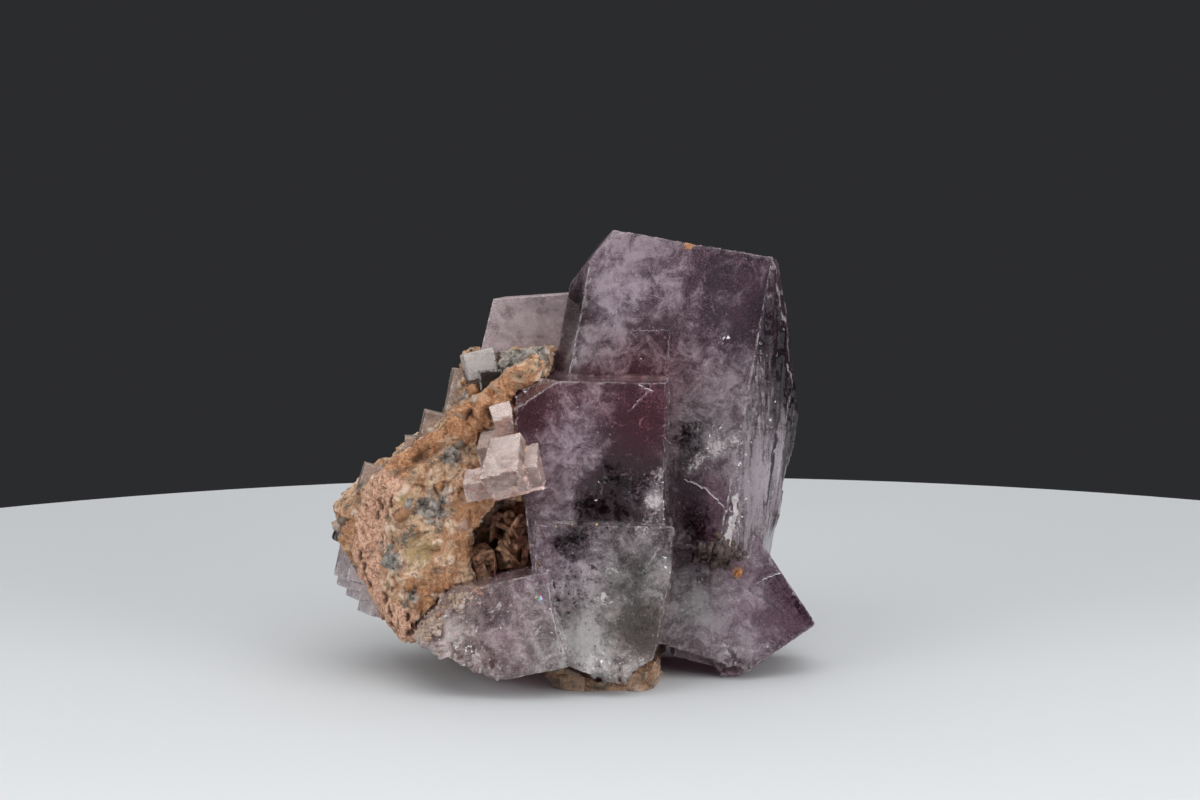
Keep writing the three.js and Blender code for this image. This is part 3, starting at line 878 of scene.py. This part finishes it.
def small_crystal_material(name, clear_tint, cloud_tint, cloudiness, absorb, density):
    """A smaller fluorite cube: one tint, more or less milky."""
    s = Shader(name)
    wisps = s.noise(2.4, 6, 0.62, 0.8)
    fine = s.noise(0.3, 5, 0.65)
    lines = s.noise(0.9, 5, 0.65, 0.4, (0.3, 0.6, 1.6))
    haze = s.math("MULTIPLY_ADD", wisps, 0.9, cloudiness - 0.45)
    haze = s.math("ADD", haze, s.math("MULTIPLY_ADD", fine, 0.4, -0.2))
    haze = s.math("ADD", haze, s.math("MULTIPLY_ADD", lines, 0.3, -0.15))
    haze = s.between(s.math("MULTIPLY_ADD", s.number("up"), 0.22, haze), 0.0, 1.0)
    chipped = s.between(s.noise(1.2, 5, 0.7), 0.42, 0.6)
    wear = s.math("MULTIPLY", s.between(s.number("edge"), 0.08, 0.35, 1.0, 0.0), chipped)
    dirt = s.math("MULTIPLY", s.between(s.number("crevice"), 0.1, 0.7, 1.0, 0.0), s.between(wisps, 0.45, 0.6))
    body = s.mix(haze, clear_tint, cloud_tint)
    body = s.mix(s.math("MULTIPLY", wear, 0.6), body, (0.70, 0.65, 0.63))
    body = s.mix(s.math("MULTIPLY", dirt, 0.6), body, (0.40, 0.20, 0.10))
    solid = s.math("MAXIMUM", s.between(haze, 0.0, 1.0, 0.06, 0.55), s.math("MULTIPLY", wear, 0.7))
    solid = s.math("MAXIMUM", solid, s.math("MULTIPLY", dirt, 0.85))
    clear = s.math("SUBTRACT", 1.0, solid)
    rough = s.between(s.math("ADD", solid, s.math("MULTIPLY", fine, 0.25)), 0.2, 1.0, 0.1, 0.45)
    ripple = s.bump(lines, 0.12, 0.08)
    s.absorb(absorb, density)
    return s.surface(
        base_color=body,
        roughness=rough,
        ior=FLUORITE_IOR,
        transmission_weight=clear,
        normal=ripple,
    )


def veil_material():
    """The tiny healed cracks and bubbles that cloud a crystal."""
    s = Shader("veil_flakes")
    shade = s.mix(s.noise(2.5, 3), (0.52, 0.38, 0.44), (0.78, 0.65, 0.70))
    return s.surface(base_color=shade, roughness=0.55, ior=FLUORITE_IOR)


def crack_material():
    """An open crack inside a crystal, bright where it throws light back."""
    s = Shader("open_crack")
    shade = s.mix(s.noise(0.5, 4), (0.75, 0.72, 0.74), (0.95, 0.94, 0.95))
    return s.surface(base_color=shade, roughness=0.25, ior=FLUORITE_IOR)


def rock_material():
    """Iron-stained vein rock: glassy grey and cream grains, rusty seams and a pinkish-orange skin."""
    s = Shader("vein_rock")
    patch = s.noise(3.0, 7, 0.66, 1.0)
    blotch = s.noise(1.2, 7, 0.72, 0.8)
    dust = s.noise(0.4, 6, 0.78)
    kind = s.math("MULTIPLY_ADD", s.number("kind"), 0.4, s.math("MULTIPLY_ADD", blotch, 1.5, -0.45))
    kind = s.math("ADD", kind, s.math("MULTIPLY_ADD", patch, 1.0, -0.5))
    core = s.mix(s.between(kind, 0.25, 0.46), (0.15, 0.125, 0.10), (0.64, 0.41, 0.25))
    core = s.mix(s.between(kind, 0.50, 0.66), core, (0.90, 0.68, 0.53))
    core = s.mix(s.between(kind, 0.74, 0.88), core, (0.95, 0.87, 0.78))
    rust = s.mix(s.between(dust, 0.35, 0.65), (0.28, 0.105, 0.04), (0.74, 0.38, 0.19))
    seam = s.math("ADD", s.number("seam"), s.math("MULTIPLY_ADD", patch, 1.6, -0.8))
    core = s.mix(s.between(seam, 0.2, 0.9, 0.0, 0.75), core, rust)
    ragged = s.math("MULTIPLY_ADD", s.noise(0.9, 8, 0.75), 2.4, -1.2)
    yellow = s.between(s.math("ADD", s.number("yellow"), ragged), 0.35, 0.75, 0.0, 0.8)
    core = s.mix(yellow, core, (0.46, 0.33, 0.15))
    rusty = s.between(s.math("ADD", s.number("rusty"), ragged), 0.35, 0.75, 0.0, 0.85)
    core = s.mix(rusty, core, rust)
    glassy = s.between(s.math("ADD", s.number("glassy"), ragged), 0.35, 0.75)
    grey = s.mix(s.between(blotch, 0.36, 0.62), (0.035, 0.028, 0.022), (0.52, 0.46, 0.41))
    core = s.mix(glassy, core, grey)
    skin = s.mix(s.between(dust, 0.38, 0.6), (0.42, 0.18, 0.10), (0.95, 0.60, 0.43))
    ochre = s.mix(s.between(patch, 0.52, 0.64), rust, (0.46, 0.32, 0.22))
    ochre_share = s.math("ADD", s.number("ochre"), s.math("MULTIPLY_ADD", blotch, 1.6, -0.8))
    ochre_share = s.math("SUBTRACT", ochre_share, glassy)
    body = s.mix(s.between(s.number("skin"), 0.3, 0.75), core, skin)
    body = s.mix(s.between(ochre_share, 0.3, 0.8), body, ochre)
    body = s.mix(s.between(dust, 0.55, 0.70, 0.0, 0.6), body, (0.82, 0.64, 0.49))
    body = s.mix(s.between(s.noise(0.55, 5, 0.7), 0.44, 0.33, 0.0, 0.8), body, (0.10, 0.05, 0.028))
    body = s.mix(s.math("MULTIPLY", s.number("vug"), 0.92), body, (0.06, 0.03, 0.018))
    body = s.mix(s.between(s.number("pit"), 0.15, 0.8, 0.0, 0.8), body, (0.07, 0.03, 0.016))
    # Painted shade: the rock turns darker and greyer at its foot, under the overhanging crystals.
    body = s.mix(s.math("MULTIPLY", s.number("low"), 0.45), body, (0.30, 0.22, 0.175))
    relief = s.bump(dust, 0.8, 0.35)
    relief = s.bump(blotch, 0.5, 0.5, relief)
    gloss = s.math("MULTIPLY_ADD", glassy, -0.5, 0.78)
    return s.surface(base_color=body, roughness=gloss, normal=relief)


def stained_block_material():
    """Cleaved fluorite in the vug under a brown iron stain."""
    s = Shader("stained_fluorite")
    smear = s.noise(0.8, 8, 0.75, 0.3)
    body = s.mix(s.between(smear, 0.4, 0.62), (0.08, 0.04, 0.024), (0.84, 0.50, 0.32))
    worn = s.between(s.noise(0.9, 5), 0.4, 0.62)
    edge = s.math("MULTIPLY", s.between(s.number("edge"), 0.05, 0.4, 0.7, 0.0), worn)
    body = s.mix(edge, body, (0.36, 0.17, 0.08))
    relief = s.bump(smear, 0.7, 0.3)
    return s.surface(base_color=body, roughness=s.between(smear, 0.3, 0.7, 0.3, 0.7), normal=relief)


def plain_speck_material(name, dark, light, metallic, roughness):
    """Small ore specks."""
    s = Shader(name)
    shade = s.mix(s.noise(0.2, 2), dark, light)
    return s.surface(base_color=shade, metallic=metallic, roughness=roughness)


def film_material():
    """A thin film in a healed crack, which shows the colours of the rainbow."""
    s = Shader("rainbow_film")
    hue = s.between(s.noise(0.7, 2, 0.5, 0.6), 0.3, 0.7)
    shade = s.add("ShaderNodeCombineColor", (hue, 0.6, 0.8), mode="HSV")
    return s.surface(base_color=shade, roughness=0.3)


def grain_material(name, dark, light, clear):
    """A grain of vein mineral."""
    s = Shader(name)
    smear = s.noise(0.8, 5, 0.7)
    body = s.mix(s.between(smear, 0.35, 0.65), dark, light)
    relief = s.bump(s.noise(0.3, 4), 0.4, 0.1)
    return s.surface(
        base_color=body,
        roughness=s.between(smear, 0.3, 0.7, 0.2, 0.6),
        ior=FLUORITE_IOR,
        transmission_weight=clear,
        normal=relief,
    )


# Crystals

def random_turn():
    """A rotation in any direction."""
    turn, _ = np.linalg.qr(RANDOM.normal(size=(3, 3)))
    return turn * np.sign(np.linalg.det(turn))


def crystal_surface(node, fineness, edge_chip):
    """A crystal's fine mesh with chipped edges and low growth steps."""
    mesh = fine_mesh(node, fineness)
    points = mesh_points(mesh)
    normals = mesh_normals(mesh)
    outward, inward = sharp_edges(node)
    to_edge = distance_to_edges(points, outward, 3.0)
    to_crevice = distance_to_edges(points, inward, 3.0)
    wear = 1 - step_up(to_edge, 0.1, 0.7)
    chips = np.clip(cloud_noise(points / 0.9, 3, 5) - 0.12, 0, 1) * wear
    terraces = cloud_noise(points / 5.0, 3, 9) * 5
    steps = (np.floor(terraces) + step_up(terraces % 1, 0.7, 1.0)) / 5
    lift = edge_chip * (0.18 * steps - chips)
    move_points(mesh, points + normals * lift[:, None])
    store_number(mesh, "edge", to_edge)
    store_number(mesh, "crevice", to_crevice)
    return mesh


def striated_side(points, normals):
    """Height of the long upright steps on the tall crystal's right side."""
    side = step_up(normals[:, 0], 0.55, 0.8) * step_up(points[:, 2], 15, 19)
    across = np.stack([points[:, 0] * 0.3, points[:, 1] * 1.1, points[:, 2] * 0.07], axis=1)
    ribs = cloud_noise(across, 3, 21)
    stepped = np.round(ribs * 5) / 5
    return side * (0.9 * stepped + 0.25 * ribs)


def shade_crystal(mesh):
    """Smooth faces that stay sharp along the crystal's edges."""
    mesh.shade_smooth()
    mesh.set_sharp_from_angle(angle=CRYSTAL_SHARP_ANGLE)


def make_main_crystals(material):
    """The intergrown crystals: tall, front, lower, lower left and turned."""
    tree = surface_tree(["main_crystals"])
    mesh = crystal_surface("main_crystals", MAIN_FINENESS, MAIN_EDGE_CHIP)
    points = mesh_points(mesh)
    normals = mesh_normals(mesh)
    lift = striated_side(points, normals)
    haze = spot_field(points, tree, HAZE_SPOTS)
    broken = np.clip(0.9 * lift, 0, 0.6) * step_up(haze, 0.0, 0.6)
    chips, _, _ = grain_noise(points / 1.9, 31)
    small_chips, _, _ = grain_noise(points / 0.9, 41)
    hackle = 0.8 * chips + 0.35 * small_chips - 0.15
    for u, v, radius, depth in BROKEN_SPOTS.values():
        middle = place_at(tree, u, v)[0] / MM
        near = 1 - step_up(np.linalg.norm(points - middle, axis=1), 0.5 * radius, radius)
        broken = np.maximum(broken, near)
        lift += near * depth * hackle
    move_points(mesh, points + normals * lift[:, None])
    store_number(mesh, "broken", broken)
    store_number(mesh, "side", step_up(normals[:, 0], 0.5, 0.8) * step_up(points[:, 2], 13, 17))
    store_number(mesh, "rust", spot_field(points, tree, RUST_SPOTS))
    store_number(mesh, "dark", spot_field(points, tree, DARK_SPOTS))
    strip = run_field(points, tree, WHITE_STRIP, WHITE_STRIP_HALF_WIDTH)
    store_number(mesh, "white", spot_field(points, tree, WHITE_SPOTS) + 2.2 * strip)
    store_number(mesh, "haze", 0.55 * haze + 0.45)
    store_colour(mesh, "tint", tint_field(points, tree))
    shade_crystal(mesh)
    return add_piece("main_crystals_look", mesh, material, ["main_crystals"])


def make_small_crystal(node, material):
    """One of the smaller crystals or groups."""
    mesh = crystal_surface(node, SMALL_FINENESS, SMALL_EDGE_CHIP)
    store_number(mesh, "up", step_up(mesh_normals(mesh)[:, 2], 0.5, 0.8))
    shade_crystal(mesh)
    return add_piece(node + "_look", mesh, material, [node])


def is_inside(tree, point):
    """Whether a point lies inside a closed surface, a little clear of it."""
    place, normal, _, gap = tree.find_nearest(Vector(point))
    return gap > SEALED_GAP and (Vector(point) - place).dot(normal) < 0


def flakes(centres, sizes):
    """One small triangle at every centre, each turned its own way."""
    count = len(centres)
    first = RANDOM.normal(size=(count, 3))
    first /= np.linalg.norm(first, axis=1, keepdims=True)
    other = np.cross(first, RANDOM.normal(size=(count, 3)))
    other /= np.linalg.norm(other, axis=1, keepdims=True)
    reach = sizes[:, None]
    corners = [centres + reach * first, centres - reach * 0.6 * first + reach * 0.8 * other]
    corners.append(centres - reach * 0.5 * first - reach * 0.7 * other)
    points = np.stack(corners, axis=1).reshape(-1, 3)
    return points, np.arange(3 * count).reshape(-1, 3)


def make_veils(source_mesh, material):
    """Clouds of tiny flakes sealed inside the main crystals, thickest just under their faces."""
    tree = surface_tree(["main_crystals"])
    points = mesh_points(source_mesh)
    normals = mesh_normals(source_mesh)
    pick = RANDOM.randint(0, len(points), VEIL_COUNT)
    sink = 0.35 + RANDOM.exponential(VEIL_DEPTH, VEIL_COUNT)
    places = points[pick] - normals[pick] * sink[:, None] + RANDOM.normal(0, 0.2, (VEIL_COUNT, 3))
    warp = np.stack([smooth_noise(places / 4.0, 40 + k) for k in range(3)], axis=1)
    wisp = cloud_noise(places / 3.0 + 0.8 * warp, 4, 50)
    density = wisp * 1.7 + 0.03
    density += 1.3 * spot_field(places, tree, HAZE_SPOTS) - 1.5 * spot_field(places, tree, DARK_SPOTS)
    keep = density > RANDOM.uniform(0.0, 0.7, VEIL_COUNT)
    inside = np.array([is_inside(tree, p * MM) for p in places[keep]])
    centres = places[keep][inside]
    corners, faces = flakes(centres, VEIL_SIZE * RANDOM.uniform(0.5, 1.3, len(centres)))
    mesh = mesh_of("main_crystals_veils", corners * MM, faces)
    return add_piece("main_crystals_veils", mesh, material)


def make_veil_sheets(source_mesh, material):
    """Healed cracks inside the main crystals: thin bent sheets of flakes that show as wisps."""
    tree = surface_tree(["main_crystals"])
    points = mesh_points(source_mesh)
    normals = mesh_normals(source_mesh)
    places = []
    for k in RANDOM.randint(0, len(points), VEIL_SHEET_COUNT):
        turn = random_turn()
        radius = RANDOM.uniform(1.0, 4.5)
        spread = int(75 * radius)
        out = radius * np.sqrt(RANDOM.uniform(0, 1, spread))
        around = RANDOM.uniform(0, 2 * math.pi, spread)
        bend = RANDOM.uniform(-0.25, 0.25) * out ** 2 / radius + RANDOM.normal(0, 0.05, spread)
        flat = np.stack([out * np.cos(around), out * np.sin(around), bend], axis=1)
        middle = points[k] - RANDOM.uniform(0.5, 3.5) * normals[k]
        places.append(middle + flat @ turn.T)
    places = np.concatenate(places)
    wanted = cloud_noise(places / 1.2, 3, 57) + 0.7 * np.minimum(spot_field(places, tree, HAZE_SPOTS), 0.2)
    places = places[wanted > 0.0]
    inside = np.array([is_inside(tree, p * MM) for p in places])
    centres = places[inside]
    corners, faces = flakes(centres, RANDOM.uniform(0.06, 0.2, len(centres)))
    above_table = np.repeat(centres[:, 2] > LOWEST_FLAKE, 3)
    corners = corners[above_table]
    mesh = mesh_of("main_crystals_veil_sheets", corners * MM, faces[:len(corners) // 3])
    return add_piece("main_crystals_veil_sheets", mesh, material)


def make_cracks(name, cracks, tree, material):
    """Thin jagged sheets that run inward from the surface of the main crystals."""
    _, forward, up = camera_axes()
    points = []
    faces = []
    for run, reach, (right, rise) in cracks.values():
        pixels = smoothed_run(run, CRACK_POINTS)
        pixels += RANDOM.normal(0, 0.5, pixels.shape)
        first = np.array([place_at(tree, u, v)[0] for u, v in pixels]) / MM
        drift = reach * 0.12 * np.array(forward) + right * np.array((1, 0, 0)) + rise * np.array(up)
        fade = np.sin(np.linspace(0.15, math.pi - 0.15, CRACK_POINTS))
        fade *= RANDOM.uniform(0.4, 1.0, CRACK_POINTS)
        start = len(points) * 2 * CRACK_POINTS
        points.append(np.concatenate([first - 0.02 * np.array(forward), first + fade[:, None] * drift]))
        k = np.arange(CRACK_POINTS - 1) + start
        faces.append(np.stack([k, k + 1, k + CRACK_POINTS + 1, k + CRACK_POINTS], axis=1))
    mesh = mesh_of(name, np.concatenate(points) * MM, np.concatenate(faces))
    return add_piece(name, mesh, material)


def crack_swarms():
    """Short cracks scattered as the swarms say."""
    cracks = {}
    for name, (u, v, across, down, count, length, heading, spread) in CRACK_SWARMS.items():
        for k in range(count):
            middle = np.array((RANDOM.normal(u, across), RANDOM.normal(v, down)))
            angle = math.radians(RANDOM.normal(heading, spread))
            run = 0.5 * length * RANDOM.uniform(0.3, 1.1) * np.array((math.cos(angle), -math.sin(angle)))
            bow = RANDOM.normal(0, 0.12 * length, 2)
            drift = RANDOM.normal(0, 0.18, 2)
            cracks[f"{name} {k}"] = ((middle - run, middle + bow, middle + run), 4.0, tuple(drift))
    return cracks


def make_specks(name, spots, depths, size, material):
    """Small loose flakes sealed under the main crystals' faces."""
    tree = surface_tree(["main_crystals"])
    centres = spots_under_surface(tree, spots.values(), *depths)
    sizes = size * RANDOM.lognormal(0, 0.5, len(centres))
    points, faces = flakes(centres, np.minimum(sizes, 2.5 * size))
    mesh = mesh_of(name, points * MM, faces)
    return add_piece(name, mesh, material)


# Rock

def make_rock(material):
    """The matrix, roughened into grains, pits and ledges."""
    tree = surface_tree(["matrix"])
    mesh = fine_mesh("matrix", ROCK_FINENESS)
    points = mesh_points(mesh)
    normals = mesh_normals(mesh)
    skin = run_field(points, tree, SKIN_RUN, SKIN_HALF_WIDTH)
    ochre = run_field(points, tree, OCHRE_RUN, OCHRE_HALF_WIDTH)
    lumps = cloud_noise(points / 5.0, 3, 61)
    grains, kind, seams = grain_noise(points / 2.3 + 0.25 * cloud_noise(points / 2.0, 2, 73)[:, None], 71)
    small_grains, small_kind, _ = grain_noise(points / 1.0, 75)
    fine = cloud_noise(points / 0.9, 3, 81)
    pits = step_up(cloud_noise(points / np.array([0.6, 0.8, 1.3]), 2, 91), 0.25, 0.5)
    ridges = 0.5 - np.abs(cloud_noise(points / np.array([3.2, 3.2, 1.6]), 4, 65))
    cracks = step_up(-np.abs(cloud_noise(points / 3.6, 4, 95)), -0.07, 0.0)
    pits = np.maximum(pits * (0.35 + skin), 0.5 * cracks)
    pits = np.maximum(pits, 0.9 * ochre * step_up(-ridges, -0.22, 0.05))
    open_rock = 1 - np.maximum(skin, 0.6 * ochre)
    low = 1 - step_up(points[:, 2], 1.0, 6.0)
    lift = 1.0 * lumps + open_rock * (0.5 * grains + 0.16 * small_grains - 0.12 * seams)
    lift += 0.45 * low * grains
    lift += 0.26 * fine - 0.5 * pits + (1.7 * ochre + 0.3) * (ridges - 0.25)
    standing = (points[:, 2] < 0.3) & (normals[:, 2] < -0.6)
    lift = np.where(standing, 0, np.clip(lift, -1.8, 1.2))
    moved = points + normals * lift[:, None]
    moved[:, 2] = np.maximum(moved[:, 2], 0)
    move_points(mesh, moved)
    store_number(mesh, "skin", skin)
    store_number(mesh, "ochre", ochre)
    store_number(mesh, "pit", pits)
    store_number(mesh, "kind", 0.75 * kind + 0.25 * small_kind)
    store_number(mesh, "seam", seams)
    # Kept for the material, which darkens and greys the rock's foot with painted shade.
    store_number(mesh, "low", low)
    store_number(mesh, "glassy", spot_field(points, tree, GLASSY_PATCHES))
    store_number(mesh, "yellow", spot_field(points, tree, YELLOW_PATCHES))
    store_number(mesh, "rusty", spot_field(points, tree, RUSTY_PATCHES))
    store_number(mesh, "vug", np.clip(spot_field(points, tree, VUG_SPOT) * 1.6 - 0.3, 0, 1))
    mesh.shade_smooth()
    mesh.set_sharp_from_angle(angle=ROCK_SHARP_ANGLE)
    return add_piece("matrix_look", mesh, material, ["matrix"])


def rough_block(sides, jitter):
    """The corners of a broken block, turned its own way."""
    corners = CUBE_CORNERS + RANDOM.uniform(-jitter, jitter, (8, 3))
    return (corners * sides) @ random_turn().T


def add_blocks(name, blocks, material):
    """One piece made of many broken blocks."""
    faces = np.concatenate([CUBE_SIDES + 8 * k for k in range(len(blocks))])
    mesh = mesh_of(name, np.concatenate(blocks) * MM, faces)
    add_piece(name, mesh, material)


def make_grains(name, count, seats, normals, material, smallest=0.35, spread=0.3):
    """Angular grains of vein minerals, half sunk in what carries them."""
    blocks = []
    for k in RANDOM.choice(len(seats), count, replace=False):
        size = smallest + RANDOM.exponential(spread)
        sides = min(size, 0.7) * RANDOM.uniform(0.7, 1.2, 3)
        blocks.append(rough_block(sides, 0.35) + seats[k] - 0.3 * sides.min() * normals[k])
    add_blocks(name, blocks, material)


def make_shards(name, seats, sides, material):
    """Broken thin blocks, each turned its own way."""
    blocks = []
    for seat in seats:
        own_sides = np.array(sides) * RANDOM.uniform(0.6, 1.3, 3) * RANDOM.uniform(0.6, 1.2)
        blocks.append(rough_block(own_sides, 0.3) + seat)
    add_blocks(name, blocks, material)


def scatter_grains(rock):
    """Grains over the rock's open faces, leaving its foot and its skin bare."""
    points = mesh_points(rock.data)
    normals = mesh_normals(rock.data)
    skin = np.zeros(len(points))
    rock.data.attributes["skin"].data.foreach_get("value", skin)
    crystals = surface_tree(["main_crystals", "pale_cubes", "shoulder_cube"])
    bare = (points[:, 2] > 3) & (skin < 0.4) & (normals[:, 2] > -0.7)
    seats = RANDOM.choice(np.flatnonzero(bare), 1500, replace=False)
    gaps = np.array([crystals.find_nearest(Vector(p * MM))[3] for p in points[seats]])
    seats = seats[gaps > 1.2 * MM]
    for kind, (count, dark, light, clear) in ROCK_GRAINS.items():
        material = grain_material(kind + "_grain", dark, light, clear)
        make_grains(kind + "_grains", count, points[seats], normals[seats], material)


def fill_pocket(name, spot, sides, material):
    """Crusty rock caught between the tall and the turned crystals."""
    seats = spots_under_surface(surface_tree(["main_crystals"]), [spot], -0.25, 0.1)
    make_shards(name, seats, sides, material)


def set_rock_blocks():
    """Broken blocks of glassy mineral, each half sunk in the rock."""
    tree = surface_tree(["matrix"])
    for kind, (dark, light, clear) in BLOCK_LOOKS.items():
        blocks = []
        for u, v, size, own_kind in ROCK_BLOCKS.values():
            if own_kind != kind:
                continue
            seat, normal = place_at(tree, u, v)
            sides = size * np.array((1.0, 0.8, 0.7)) * RANDOM.uniform(0.8, 1.2, 3)
            blocks.append(rough_block(sides, 0.22) + seat / MM - 0.75 * size * normal)
        add_blocks(kind + "_blocks", blocks, grain_material(kind + "_block", dark, light, clear))


def fill_vug(material):
    """Broken shards of stained crystal in the vug."""
    tree = surface_tree(["matrix"] + [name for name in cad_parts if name.startswith("vug_block")])
    seats = spots_under_surface(tree, [VUG_SHARDS], 0.0, 0.3)
    make_shards("vug_shards", seats, (1.7, 1.1, 0.16), material)


def fill_seams(material):
    """Broken pale fluorite along the seams between crystals and rock."""
    tree = surface_tree(["main_crystals", "matrix"])
    seats = spots_under_surface(tree, SEAM_GRAINS.values(), -0.1, 0.5)
    toward_camera = -np.array(camera_axes()[1])
    normals = np.tile(toward_camera, (len(seats), 1))
    make_grains("seam_grains", len(seats), seats, normals, material, 0.1, 0.1)


# Setting

def make_table():
    """The pale round table, with a softly rounded rim, its colour darkened toward the back as painted shade.
    """
    bpy.ops.mesh.primitive_cylinder_add(
        vertices=160,
        radius=TABLE_RADIUS,
        depth=TABLE_THICKNESS,
        location=(*TABLE_CENTRE, -TABLE_THICKNESS / 2),
    )
    table = bpy.context.object
    table.name = "table"
    rim = table.modifiers.new("rim", "BEVEL")
    rim.width = 1.5 * MM
    rim.segments = 3
    s = Shader("table_white_painted_falloff")
    # Painted shade: the table's colour darkens from front to back, standing in for the lamps' light falling
    # off.
    depth = s.add("ShaderNodeSeparateXYZ", (s.place,), "Y")
    shade = s.mix(s.between(depth, -60, 200), (0.715, 0.735, 0.757), (0.53, 0.547, 0.563))
    table.data.materials.append(s.surface(base_color=shade, roughness=0.8, specular_ior_level=0.2))


def make_lamp(name, place, size, power):
    """A soft box lamp aimed at the specimen."""
    data = bpy.data.lights.new(name, "AREA")
    data.shape = "RECTANGLE"
    data.size, data.size_y = size
    data.energy = power
    lamp = bpy.data.objects.new(name, data)
    bpy.context.scene.collection.objects.link(lamp)
    lamp.location = place
    lamp.rotation_euler = (LAMP_AIM - Vector(place)).to_track_quat("-Z", "Y").to_euler()


def make_camera():
    """The camera at the photograph's viewing angle."""
    data = bpy.data.cameras.new("camera")
    data.sensor_width = SENSOR_MM
    data.lens = SENSOR_MM * FOCAL_PIXELS / PHOTO_WIDTH
    data.clip_start = 0.01
    camera = bpy.data.objects.new("camera", data)
    bpy.context.scene.collection.objects.link(camera)
    place, forward, _ = camera_axes()
    camera.location = place
    camera.rotation_euler = forward.to_track_quat("-Z", "Y").to_euler()
    bpy.context.scene.camera = camera


def make_setting():
    """Table, dark surroundings, soft lamps and the camera."""
    make_table()
    world = bpy.data.worlds.new("studio")
    world.use_nodes = True
    world.node_tree.nodes["Background"].inputs["Color"].default_value = SURROUNDINGS
    bpy.context.scene.world = world
    for name, (place, size, power) in LAMPS.items():
        make_lamp(name, place, size, power)
    make_camera()
    bpy.context.scene.view_settings.view_transform = "Standard"


# Specimen

def fill_main_crystals(main):
    """All that is sealed in the main crystals."""
    veil = veil_material()
    open_crack = crack_material()
    dark = plain_speck_material("dark_inclusion", (0.012, 0.008, 0.01), (0.03, 0.02, 0.025), 0.0, 0.5)
    gold = plain_speck_material("brassy_fleck", (0.45, 0.27, 0.09), (0.75, 0.52, 0.22), 0.9, 0.35)
    make_veils(main.data, veil)
    make_veil_sheets(main.data, open_crack)
    finished = BVHTree.FromObject(main, bpy.context.evaluated_depsgraph_get())
    make_cracks("bright_cracks", BRIGHT_CRACKS, finished, open_crack)
    make_cracks("crack_swarms", crack_swarms(), finished, veil)
    make_cracks("dark_cracks", DARK_CRACKS, finished, dark)
    make_specks("sparkles", SPARKLES, (-0.03, 0.5), 0.13, open_crack)
    make_specks("shards", SHARDS, (-0.02, 0.15), 0.17, open_crack)
    make_specks("black_specks", BLACK_SPECKS, (-0.1, 0.0), 0.19, dark)
    make_specks("rainbow_crack", RAINBOW, (-0.1, 0.0), 0.2, film_material())
    make_specks("gold_flecks", GOLD_FLECKS, (-0.1, 0.02), 0.15, gold)


def make_small_crystals(brown):
    """The smaller crystals, and the stained blocks in the vug."""
    looks = {name: small_crystal_material(name + "_fluorite", *look) for name, look in SMALL_LOOKS.items()}
    for node, (look, slot) in SMALL_CRYSTALS.items():
        make_small_crystal(node, looks[look])
    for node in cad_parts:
        if node.startswith("vug_block"):
            make_small_crystal(node, brown)


def make_specimen():
    """All pieces of the specimen."""
    brown = stained_block_material()
    dark_crust = plain_speck_material("dark_crust", (0.02, 0.014, 0.012), (0.15, 0.095, 0.08), 0.0, 0.6)
    rusty_crust = plain_speck_material("rusty_crust", (0.35, 0.11, 0.03), (0.72, 0.30, 0.10), 0.0, 0.7)
    fill_main_crystals(make_main_crystals(main_crystal_material()))
    make_small_crystals(brown)
    scatter_grains(make_rock(rock_material()))
    fill_pocket("pocket_crust", POCKET, (0.52, 0.42, 0.26), dark_crust)
    fill_pocket("pocket_rust", POCKET_RUST, (0.28, 0.2, 0.08), rusty_crust)
    set_rock_blocks()
    fill_vug(brown)
    fill_seams(grain_material("pale_grain", (0.68, 0.42, 0.27), (0.88, 0.76, 0.68), 0.5))


make_setting()
make_specimen()
